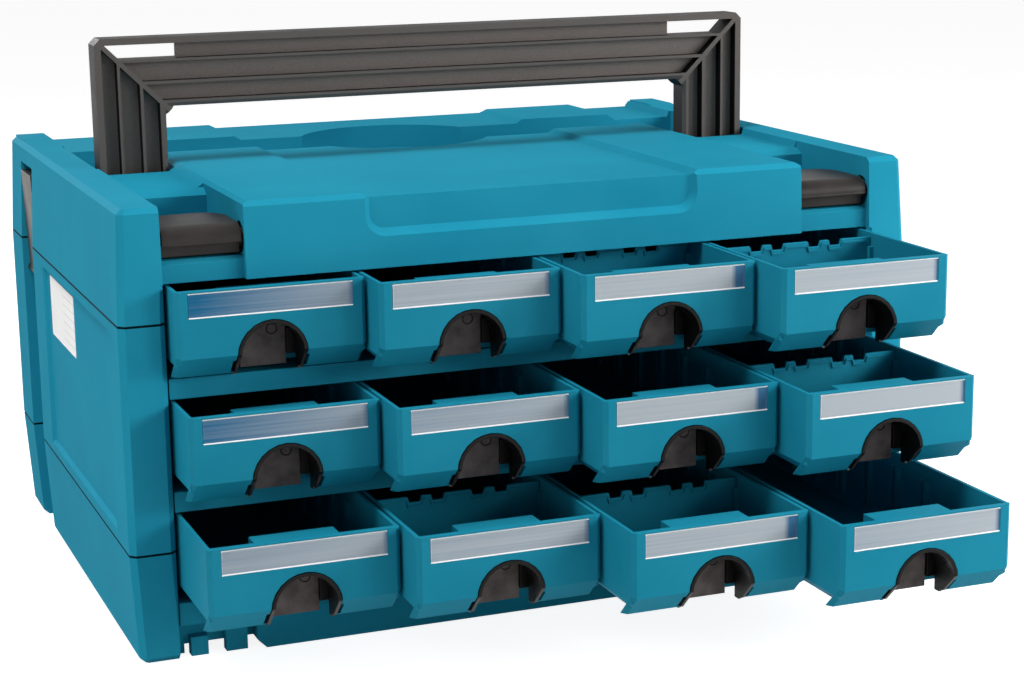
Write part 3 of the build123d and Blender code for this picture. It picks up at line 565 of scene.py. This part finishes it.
SHELL_TEAL = moulded_plastic(
    "shell_teal",
    TEAL,
    TEAL_LIGHT,
    roughness=0.72,
    grain_size=0.55 * MM,
    grain_depth=0.05 * MM,
    mottle_size=60 * MM,
    specular=0.015,
    seam_shade=True,
)
RACK_TEAL = moulded_plastic(
    "rack_teal",
    TEAL,
    TEAL_LIGHT,
    roughness=0.62,
    grain_size=0.55 * MM,
    grain_depth=0.04 * MM,
    mottle_size=60 * MM,
    specular=0.03,
)
DRAWER_TEAL = moulded_plastic(
    "drawer_teal",
    DRAWER_DEEP,
    DRAWER_BRIGHT,
    roughness=0.55,
    grain_size=0.45 * MM,
    grain_depth=0.03 * MM,
    mottle_size=45 * MM,
    specular=0.04,
)
LATCH_GREY = moulded_plastic(
    "latch_charcoal",
    LATCH_DARK,
    LATCH_LIGHT,
    roughness=0.40,
    grain_size=0.5 * MM,
    grain_depth=0.04 * MM,
    mottle_size=18 * MM,
    specular=0.12,
)
# near-black sheets that stand in for shade in the pull slits; the ring marks use the same near-black
SHADE_WEB_AND_MARK_BLACK = moulded_plastic(
    "shade_web_and_mark_black",
    SHADE_WEB_DARK,
    PULL_SHADE_BLACK,
    roughness=0.42,
    grain_size=0.5 * MM,
    grain_depth=0.03 * MM,
    mottle_size=11 * MM,
    specular=0.10,
    unevenness=0.08,
)
HANDLE_GREY = handle_plastic()
LABEL_PAPER = label_paper()


def smooth_by_angle():
    """Geometry node group that shades smooth every edge flatter than a limit."""
    group = bpy.data.node_groups.new("smooth_by_angle", "GeometryNodeTree")
    group.is_modifier = True
    for direction in ("INPUT", "OUTPUT"):
        group.interface.new_socket("Geometry", in_out=direction, socket_type="NodeSocketGeometry")
    start = add_node(group, "NodeGroupInput", (-600, 0))
    end = add_node(group, "NodeGroupOutput", (400, 0))
    faces = add_node(group, "GeometryNodeSetShadeSmooth", (-300, 0), domain="FACE")
    angle = add_node(group, "GeometryNodeInputMeshEdgeAngle", (-300, -200))
    sharp = add_node(
        group, "FunctionNodeCompare", (-100, -200), data_type="FLOAT", operation="GREATER_THAN"
    )
    sharp.inputs[1].default_value = SMOOTH_LIMIT
    edges = add_node(group, "GeometryNodeSetShadeSmooth", (100, 0), domain="EDGE")
    edges.inputs["Shade Smooth"].default_value = False
    group.links.new(start.outputs["Geometry"], faces.inputs["Geometry"])
    group.links.new(faces.outputs["Geometry"], edges.inputs["Geometry"])
    group.links.new(angle.outputs["Unsigned Angle"], sharp.inputs[0])
    group.links.new(sharp.outputs["Result"], edges.inputs["Selection"])
    group.links.new(edges.outputs["Geometry"], end.inputs["Geometry"])
    return group


SMOOTHING = smooth_by_angle()


def round_edges(piece, radius):
    """Shade the curves smooth and round the sharp edges of a piece."""
    smooth = piece.modifiers.new("smooth_curves", "NODES")
    smooth.node_group = SMOOTHING
    rounding = piece.modifiers.new("edge_radius", "BEVEL")
    rounding.width = radius
    rounding.segments = ROUND_SEGMENTS
    rounding.limit_method = "ANGLE"
    rounding.angle_limit = SMOOTH_LIMIT
    rounding.harden_normals = True


def dress(node, material, radius):
    """Give a moulding its finish and round its sharp edges."""
    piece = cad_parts[node]
    piece.data.materials.clear()
    piece.data.materials.append(material)
    weld = piece.modifiers.new("weld", "WELD")
    weld.merge_threshold = WELD_REACH
    flat = piece.modifiers.new("join_flat_faces", "DECIMATE")
    flat.decimate_type = "DISSOLVE"
    flat.angle_limit = FLAT_LIMIT
    round_edges(piece, radius)


# Finishes of the mouldings, by the starts of their names
FINISHES = (
    (("base_tray", "body_ring", "lid"), SHELL_TEAL, SHELL_ROUND),
    (("rack_side", "shelf"), RACK_TEAL, DRAWER_ROUND),
    (("latch",), LATCH_GREY, SMALL_ROUND),
    (("drawer", "divider"), DRAWER_TEAL, DRAWER_ROUND),
)
for starts, finish_material, edge_radius in FINISHES:
    for node_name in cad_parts:
        if node_name.startswith(starts):
            dress(node_name, finish_material, edge_radius)


def add_object(name, data):
    """New object in the scene."""
    made = bpy.data.objects.new(name, data)
    bpy.context.scene.collection.objects.link(made)
    return made


def add_mesh(name, mesh, material):
    """Turn a mesh into an object with one material."""
    data = bpy.data.meshes.new(name)
    mesh.to_mesh(data)
    mesh.free()
    data.materials.append(material)
    return add_object(name, data)


def add_piece(name, mesh, material, body):
    """Turn a mesh into a piece that rides on a body."""
    piece = add_mesh(name, mesh, material)
    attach(piece, body)
    return piece


def moved_verts(result):
    """Vertices that an operator made."""
    return [item for item in result["geom"] if isinstance(item, bmesh.types.BMVert)]


def all_parts(mesh):
    """Everything in a mesh, as the operators take it."""
    return mesh.verts[:] + mesh.edges[:] + mesh.faces[:]


def cut_along(mesh, cuts):
    """Cut a mesh along planes, each given by a point and a normal."""
    for place, normal in cuts:
        bmesh.ops.bisect_plane(mesh, geom=all_parts(mesh), dist=TOUCH, plane_co=place, plane_no=normal)


def place_in_order(part):
    """Number that sorts edges and faces by their lowest points."""
    first, second, third = sorted([vert.index for vert in part.verts] + [ORDER_STEP])[:3]
    return (first * ORDER_STEP + second) * ORDER_STEP + third


def in_fixed_order(mesh):
    """Put the edges and faces of a mesh in the order of their points, which is the same at each run."""
    mesh.verts.index_update()
    mesh.edges.sort(key=place_in_order)
    mesh.faces.sort(key=place_in_order)
    ordered = bpy.data.meshes.new("ordered")
    mesh.to_mesh(ordered)
    mesh.clear()
    mesh.from_mesh(ordered)
    bpy.data.meshes.remove(ordered)


def join_flat(mesh):
    """Turn the faces outwards and join those that lie flat."""
    in_fixed_order(mesh)
    bmesh.ops.recalc_face_normals(mesh, faces=mesh.faces[:])
    bmesh.ops.dissolve_limit(mesh, angle_limit=FLAT_LIMIT, verts=mesh.verts[:], edges=mesh.edges[:])


def add_block(mesh, low, high):
    """Block between two corners."""
    low, high = Vector(low), Vector(high)
    size = Matrix.Diagonal((high - low).to_4d())
    made = bmesh.ops.create_cube(mesh, size=1.0, matrix=Matrix.Translation((low + high) / 2) @ size)
    return made["verts"]


def add_pin(mesh, centre, radius, length, segments):
    """Round pin that lies along the width of the case."""
    bmesh.ops.create_cone(
        mesh,
        cap_ends=True,
        segments=segments,
        radius1=radius,
        radius2=radius,
        depth=length,
        matrix=Matrix.Translation(centre) @ ACROSS,
    )


def handle_insets(point, top):
    """Distances of a point from the handle's nearer side and from its top."""
    return HANDLE_HALF - abs(point.x), top - point.z


def handle_outline(mesh, top, pivot, foot, front):
    """Front face of the handle: a sheet cut along its ribs, without corners and the space under the bar."""
    upright = Matrix.Translation((0.0, front, (top + pivot) / 2)) @ Matrix.Rotation(math.pi / 2, 4, "X")
    size = Matrix.Diagonal((2 * HANDLE_HALF, top - pivot, 1.0, 1.0))
    bmesh.ops.create_grid(mesh, x_segments=1, y_segments=1, size=0.5, matrix=upright @ size)
    cuts = [((0.0, front, foot), (0, 0, 1))]
    insets = [edge for groove in GROOVES for edge in groove]
    for inset in insets + [HANDLE_BAND - INNER_CHAMFER, HANDLE_BAND]:
        cuts.append(((0.0, front, top - inset), (0, 0, 1)))
        cuts += [((side * (HANDLE_HALF - inset), front, top), (1, 0, 0)) for side in (1, -1)]
    inner = HANDLE_HALF - HANDLE_BAND - HANDLE_GUSSET
    for side in (1, -1):
        cuts += [
            ((side * (HANDLE_HALF - WINDOW_END), front, top), (1, 0, 0)),
            ((side * (HANDLE_HALF - MITRE_RIB), front, top), (-side, 0, 1)),
            ((side * HANDLE_HALF, front, top - MITRE_RIB), (-side, 0, 1)),
            ((side * (HANDLE_HALF - HANDLE_CORNER), front, top), (side, 0, 1)),
            ((side * inner, front, top - HANDLE_BAND), (side, 0, 1)),
        ]
    cut_along(mesh, cuts)
    spare = []
    for face in mesh.faces:
        across, down = handle_insets(face.calc_center_median(), top)
        under = min(across, down) > HANDLE_BAND and across + down > 2 * HANDLE_BAND + HANDLE_GUSSET
        if under or across + down < HANDLE_CORNER:
            spare.append(face)
    bmesh.ops.delete(mesh, geom=spare, context="FACES")


def in_groove(point, top, foot):
    """Whether a point of the handle's face lies in a groove of the bar or of a leg."""
    across, down = handle_insets(point, top)
    if across - down > MITRE_RIB:
        return any(near < down < far for near, far in GROOVES)
    if down - across > MITRE_RIB and point.z > foot:
        return any(near < across < far for near, far in GROOVES)
    return False


def in_window(point, top):
    """Whether a point lies in one of the two openings through the bar's outer groove."""
    across, down = handle_insets(point, top)
    near, far = GROOVES[0]
    return near < down < far and across - down > MITRE_RIB and across < WINDOW_END


def on_inner_edge(point, top):
    """Whether a point lies on the edge round the space under the bar."""
    across, down = handle_insets(point, top)
    beside = abs(across - HANDLE_BAND) < TOUCH and down > HANDLE_BAND + HANDLE_GUSSET - TOUCH
    below = abs(down - HANDLE_BAND) < TOUCH and across > HANDLE_BAND + HANDLE_GUSSET - TOUCH
    return beside or below


def handle_grip():
    """Flat U handle: nested grooves on both faces, a mitre rib in each corner and two openings in the bar."""
    low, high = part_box("handle")
    half = (high.y - low.y) / 2
    top = high.z
    pivot = low.z + half
    foot = pivot + half
    mesh = bmesh.new()
    handle_outline(mesh, top, pivot, foot, -half)
    grooves = [face for face in mesh.faces if in_groove(face.calc_center_median(), top, foot)]
    sunk = bmesh.ops.extrude_face_region(mesh, geom=grooves)
    bmesh.ops.translate(mesh, verts=moved_verts(sunk), vec=(0.0, GROOVE_DEPTH, 0.0))
    bmesh.ops.delete(mesh, geom=grooves, context="FACES")
    floors = [face for face in mesh.faces if face.calc_center_median().y > GROOVE_DEPTH - half - TOUCH]
    windows = [face for face in floors if in_window(face.calc_center_median(), top)]
    bmesh.ops.delete(mesh, geom=windows, context="FACES")
    inner_edge = [v for v in mesh.verts if v.co.y < TOUCH - half and on_inner_edge(v.co, top)]
    bmesh.ops.translate(mesh, verts=inner_edge, vec=(0.0, INNER_CHAMFER, 0.0))
    rims = [edge for edge in mesh.edges if edge.is_boundary]
    sides = moved_verts(bmesh.ops.extrude_edge_only(mesh, edges=rims))
    bmesh.ops.scale(mesh, verts=sides, vec=(1.0, 0.0, 1.0))
    bmesh.ops.mirror(mesh, geom=all_parts(mesh), axis="Y", merge_dist=TOUCH)
    bmesh.ops.remove_doubles(mesh, verts=mesh.verts[:], dist=TOUCH)
    join_flat(mesh)
    trunnion = high.x - HANDLE_HALF + half
    for side in (1, -1):
        for radius, length, outer in (
            (half, HANDLE_BAND, HANDLE_HALF),
            (TRUNNION_RADIUS, trunnion, high.x),
        ):
            add_pin(mesh, (side * (outer - length / 2), 0.0, pivot), radius, length, TRUNNION_SEGMENTS)
    bmesh.ops.translate(mesh, verts=mesh.verts[:], vec=(0.0, low.y + half, 0.0))
    piece = add_piece("handle_grip", mesh, HANDLE_GREY, "handle_frame")
    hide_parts("handle")
    round_edges(piece, HANDLE_ROUND)


def finger_roll(mesh, pivot, radius, left, right):
    """Roll along the front of a latch, with a setback under it."""
    turned = Matrix.Translation((left, pivot.y, pivot.z)) @ ACROSS
    bmesh.ops.create_circle(mesh, cap_ends=True, segments=LATCH_SEGMENTS, radius=radius, matrix=turned)
    under = pivot.z - ROLL_UNDER * radius
    setback = pivot.y - ROLL_SETBACK * radius
    cut_along(mesh, (((left, pivot.y, under), (0, 0, 1)), ((left, setback, pivot.z), (0, 1, 0))))
    notch = []
    for face in mesh.faces:
        centre = face.calc_center_median()
        if centre.z < under and centre.y < setback:
            notch.append(face)
    bmesh.ops.delete(mesh, geom=notch, context="FACES")
    drawn = bmesh.ops.extrude_face_region(mesh, geom=mesh.faces[:])
    bmesh.ops.translate(mesh, verts=moved_verts(drawn), vec=(right - left, 0.0, 0.0))
    join_flat(mesh)


def latch_plate(mesh, low, high):
    """Plate of a latch between two corners, with its two rear corners rounded."""
    rear = {vert for vert in add_block(mesh, low, high) if vert.co.y > low[1] + TOUCH}
    corners = []
    for edge in mesh.edges:
        first, second = edge.verts
        if first in rear and second in rear and abs(first.co.x - second.co.x) < TOUCH:
            corners.append(edge)
    bmesh.ops.bevel(
        mesh,
        geom=corners,
        offset=LATCH_CORNER,
        affect="EDGES",
        segments=LATCH_CORNER_SEGMENTS,
        profile=0.5,
        material=-1,
    )


def front_latch(side):
    """Front latch: a finger roll, pins at its ends, a plate that lies back and a hook under the plate."""
    node = "latch_front_" + side
    low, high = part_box(node)
    radius = (high.z - low.z) / 2
    pivot = Vector(((low.x + high.x) / 2, low.y + radius, low.z + radius))
    left, right = low.x + LATCH_PIN, high.x - LATCH_PIN
    mesh = bmesh.new()
    finger_roll(mesh, pivot, radius, left, right)
    for end in (left - LATCH_PIN / 2, right + LATCH_PIN / 2):
        add_pin(mesh, (end, pivot.y, pivot.z), LATCH_PIN_RADIUS, LATCH_PIN, LATCH_SEGMENTS)
    latch_plate(mesh, (left, pivot.y, high.z - LATCH_PLATE), (right, high.y, high.z))
    quarter = (right - left) / 4
    add_block(
        mesh,
        (pivot.x - quarter, high.y - LATCH_HOOK, high.z - LATCH_PLATE - LATCH_HOOK),
        (pivot.x + quarter, high.y, high.z - LATCH_PLATE / 2),
    )
    piece = add_piece("latch_roll_" + side, mesh, LATCH_GREY, "front_clasp_" + side)
    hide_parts(node)
    round_edges(piece, SMALL_ROUND)


def label_strip(row, column):
    """Label strip in its pocket, with a raised rim round the card."""
    key = drawer_key(row, column)
    mesh = bmesh.new()
    add_block(mesh, *strip_box(key))
    front = min(mesh.faces, key=lambda face: face.calc_center_median().y)
    bmesh.ops.inset_region(
        mesh, faces=[front], thickness=STRIP_RIM, depth=-STRIP_DIP, use_even_offset=True
    )
    bmesh.ops.recalc_face_normals(mesh, faces=mesh.faces[:])
    finish = strip_plastic(row, column)
    piece = add_piece("strip_" + key, mesh, finish, "drawer_unit_" + key)
    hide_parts("label_strip_" + key)
    round_edges(piece, STRIP_ROUND)


def pull_shade_webs(key):
    """Painted shade: near-black sheets that close the upper part of the slits beside the back wall of a pull.
    """
    low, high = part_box("pull_" + key)
    middle = (low.x + high.x) / 2
    mesh = bmesh.new()
    for left, right in ((SHADE_WEB_INNER, SHADE_WEB_OUTER), (-SHADE_WEB_OUTER, -SHADE_WEB_INNER)):
        add_block(
            mesh,
            (middle + left, high.y - SHADE_WEB_FRONT, high.z - SHADE_WEB_FOOT),
            (middle + right, high.y - SHADE_WEB_REAR, high.z - SHADE_WEB_TOP),
        )
    piece = add_piece("pull_shade_webs_" + key, mesh, SHADE_WEB_AND_MARK_BLACK, "drawer_unit_" + key)
    round_edges(piece, SMALL_ROUND)


def drawer_front(key):
    """Middle of a drawer's front at its rim, at rest."""
    low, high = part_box("drawer_" + key)
    return Vector(((low.x + high.x) / 2, low.y, high.z))


def slot_ribs(key):
    """Upright ribs along both walls of a drawer, in pairs for more dividers."""
    front = drawer_front(key)
    wall_plane = DRAWER_WIDTH / 2 - DRAWER_WALL + (RIB_EMBED - RIB_REACH) / 2
    size = Vector((RIB_REACH + RIB_EMBED, RIB_WIDTH, RIB_TOP - RIB_FOOT))
    mesh = bmesh.new()
    bevelled = []
    for place in range(RIB_PLACES):
        for rib_side in (1, -1):
            y = RIB_FIRST + place * RIB_PITCH + rib_side * (RIB_GAP + RIB_WIDTH) / 2
            for wall in (1, -1):
                centre = front + Vector((wall * wall_plane, y, (RIB_TOP + RIB_FOOT) / 2))
                rib = add_block(mesh, centre - size / 2, centre + size / 2)
                top = [v for v in rib if v.co.z > centre.z and wall * (v.co.x - centre.x) < 0]
                bevelled += [edge for edge in top[0].link_edges if edge.other_vert(top[0]) is top[1]]
    bmesh.ops.bevel(
        mesh, geom=bevelled, offset=RIB_BEVEL, affect="EDGES", segments=1, profile=0.5, material=-1
    )
    add_piece("slot_ribs_" + key, mesh, DRAWER_TEAL, "drawer_unit_" + key)


def divider_bead(key):
    """Thin raised bead that follows the notched top edge of a divider on both faces."""
    low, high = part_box("divider_" + key)
    x = (low.x + high.x) / 2
    top = high.z - BEAD_DROP
    half_top = NOTCH_HALF_TOP + BEAD_DROP / 2
    half_foot = NOTCH_HALF_FOOT + BEAD_DROP / 2
    outline = [(-BEAD_END, top)]
    for notch in NOTCH_PLACES:
        outline += [
            (notch - half_top, top),
            (notch - half_foot, top - NOTCH_DEPTH),
            (notch + half_foot, top - NOTCH_DEPTH),
            (notch + half_top, top),
        ]
    outline.append((BEAD_END, top))
    mesh = bmesh.new()
    points = [mesh.verts.new((x + along, low.y - BEAD_PROUD, z)) for along, z in outline]
    edges = [mesh.edges.new(pair) for pair in zip(points, points[1:])]
    drawn = bmesh.ops.extrude_edge_only(mesh, edges=edges)
    bmesh.ops.translate(mesh, verts=moved_verts(drawn), vec=(0, 0, -BEAD_HEIGHT))
    thick = bmesh.ops.extrude_face_region(mesh, geom=mesh.faces[:])
    bmesh.ops.translate(mesh, verts=moved_verts(thick), vec=(0, high.y - low.y + 2 * BEAD_PROUD, 0))
    bmesh.ops.recalc_face_normals(mesh, faces=mesh.faces[:])
    add_piece("divider_bead_" + key, mesh, DRAWER_TEAL, "drawer_unit_" + key)


def ring_mark(key):
    """Raised round mark that the mould leaves on the back wall of a pull."""
    mesh = bmesh.new()
    ring = bmesh.ops.create_circle(
        mesh,
        segments=MARK_TUBE_SEGMENTS,
        radius=MARK_TUBE,
        matrix=Matrix.Translation((MARK_RADIUS, 0, 0)),
    )
    bmesh.ops.spin(
        mesh,
        geom=ring["verts"] + mesh.edges[:],
        cent=(0, 0, 0),
        axis=(0, 1, 0),
        angle=math.tau,
        steps=MARK_STEPS,
        use_merge=True,
    )
    bmesh.ops.recalc_face_normals(mesh, faces=mesh.faces[:])
    bmesh.ops.translate(mesh, verts=mesh.verts[:], vec=drawer_front(key) + Vector(MARK_PLACE))
    for face in mesh.faces:
        face.smooth = True
    add_piece("ring_mark_" + key, mesh, SHADE_WEB_AND_MARK_BLACK, "drawer_unit_" + key)


def side_label():
    """Blank paper label with round corners on the left panel of the middle ring."""
    mesh = bmesh.new()
    width = LABEL_REAR - LABEL_FRONT
    height = LABEL_HIGH - LABEL_LOW
    centre = (LABEL_PLANE, (LABEL_FRONT + LABEL_REAR) / 2, (LABEL_LOW + LABEL_HIGH) / 2)
    flat = Matrix.Translation(centre) @ Matrix.Rotation(-math.pi / 2, 4, "Y")
    size = Matrix.Diagonal((height, width, 1.0, 1.0))
    bmesh.ops.create_grid(mesh, x_segments=1, y_segments=1, size=0.5, matrix=flat @ size)
    bmesh.ops.bevel(
        mesh,
        geom=mesh.verts[:],
        offset=LABEL_CORNER,
        affect="VERTICES",
        segments=LABEL_CORNER_SEGMENTS,
        profile=0.5,
        material=-1,
    )
    bmesh.ops.recalc_face_normals(mesh, faces=mesh.faces[:])
    thick = bmesh.ops.extrude_face_region(mesh, geom=mesh.faces[:])
    bmesh.ops.translate(mesh, verts=moved_verts(thick), vec=(-LABEL_THICKNESS, 0, 0))
    bmesh.ops.recalc_face_normals(mesh, faces=mesh.faces[:])
    add_piece("side_label", mesh, LABEL_PAPER, "case")


for drawer_row in range(ROW_COUNT):
    for drawer_column in range(COLUMN_COUNT):
        drawer = drawer_key(drawer_row, drawer_column)
        dress("pull_" + drawer, pull_plastic(drawer), SMALL_ROUND)
        label_strip(drawer_row, drawer_column)
        slot_ribs(drawer)
        pull_shade_webs(drawer)
        ring_mark(drawer)
        if "divider_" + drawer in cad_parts:
            divider_bead(drawer)
side_label()
handle_grip()
for latch_side in ("left", "right"):
    front_latch(latch_side)


def seen_as_background(tree, place):
    """One for camera, glossy and transmission rays, zero for the light that falls on the case."""
    rays = add_node(tree, "ShaderNodeLightPath", place).outputs
    right = (place[0] + 180, place[1])
    seen = join_values(tree, "ADD", rays["Is Camera Ray"], rays["Is Glossy Ray"], right, clamp=True)
    right = (place[0] + 360, place[1])
    return join_values(tree, "ADD", seen, rays["Is Transmission Ray"], right, clamp=True)


def studio_stage():
    """White floor that keeps the shadow of the case."""
    material = bpy.data.materials.new("floor_white")
    material.use_nodes = True
    tree = material.node_tree
    shader = tree.nodes["Principled BSDF"]
    shader.inputs["Base Color"].default_value = linear(FLOOR_WHITE)
    shader.inputs["Roughness"].default_value = FLOOR_ROUGHNESS
    shader.inputs["Specular IOR Level"].default_value = 0.0
    glow = add_node(tree, "ShaderNodeEmission", (0, -300))
    share = add_node(tree, "ShaderNodeMath", (-60, 300), operation="MULTIPLY")
    share.inputs[1].default_value = FLOOR_GLOW
    tree.links.new(seen_as_background(tree, (-660, 300)), share.inputs[0])
    tree.links.new(share.outputs[0], glow.inputs["Strength"])
    both = add_node(tree, "ShaderNodeAddShader", (260, 0))
    tree.links.new(shader.outputs["BSDF"], both.inputs[0])
    tree.links.new(glow.outputs["Emission"], both.inputs[1])
    tree.links.new(both.outputs["Shader"], tree.nodes["Material Output"].inputs["Surface"])
    mesh = bmesh.new()
    bmesh.ops.create_grid(mesh, x_segments=1, y_segments=1, size=FLOOR_SIZE)
    floor = add_mesh("floor", mesh, material)


def soft_box(name, place, size, power):
    """Area light turned towards the case."""
    light = bpy.data.lights.new(name, "AREA")
    light.shape = "RECTANGLE"
    light.size, light.size_y = size
    light.energy = power
    lamp = add_object(name, light)
    lamp.location = place
    lamp.rotation_mode = "QUATERNION"
    lamp.rotation_quaternion = (Vector(LIGHT_AIM) - Vector(place)).to_track_quat("-Z", "Y")
    lamp.visible_camera = False


def studio_light():
    """White surroundings, and soft boxes above, in front, at both sides and behind."""
    world = bpy.data.worlds.new("studio")
    world.use_nodes = True
    tree = world.node_tree
    ambient = tree.nodes["Background"]
    ambient.inputs["Color"].default_value = WHITE
    ambient.inputs["Strength"].default_value = AMBIENT
    white = add_node(tree, "ShaderNodeBackground", (0, -200))
    white.inputs["Color"].default_value = WHITE
    white.inputs["Strength"].default_value = 1.0
    mix = add_node(tree, "ShaderNodeMixShader", (260, 0))
    tree.links.new(seen_as_background(tree, (-600, 300)), mix.inputs[0])
    tree.links.new(ambient.outputs["Background"], mix.inputs[1])
    tree.links.new(white.outputs["Background"], mix.inputs[2])
    tree.links.new(mix.outputs["Shader"], tree.nodes["World Output"].inputs["Surface"])
    bpy.context.scene.world = world
    for name, place, size, power in SOFT_BOXES:
        soft_box(name, place, size, power)


def photo_camera():
    """Camera at the photograph's viewpoint."""
    data = bpy.data.cameras.new("photo_camera")
    data.lens = CAMERA_LENS
    data.shift_x, data.shift_y = CAMERA_SHIFT
    data.clip_start, data.clip_end = CAMERA_CLIP
    yaw, pitch, roll = (math.radians(a) for a in (CAMERA_YAW, CAMERA_PITCH, CAMERA_ROLL))
    ahead = Vector((math.sin(yaw) * math.cos(pitch), math.cos(yaw) * math.cos(pitch), -math.sin(pitch)))
    level = Vector((math.cos(yaw), -math.sin(yaw), 0.0))
    raised = level.cross(ahead)
    right = level * math.cos(roll) + raised * math.sin(roll)
    up = raised * math.cos(roll) - level * math.sin(roll)
    turn = Matrix((right, up, -ahead)).transposed()
    camera = add_object("photo_camera", data)
    camera.matrix_world = Matrix.Translation(CAMERA_PLACE) @ turn.to_4x4()
    bpy.context.scene.camera = camera


studio_stage()
studio_light()
photo_camera()
bpy.context.scene.view_settings.view_transform = "Standard"
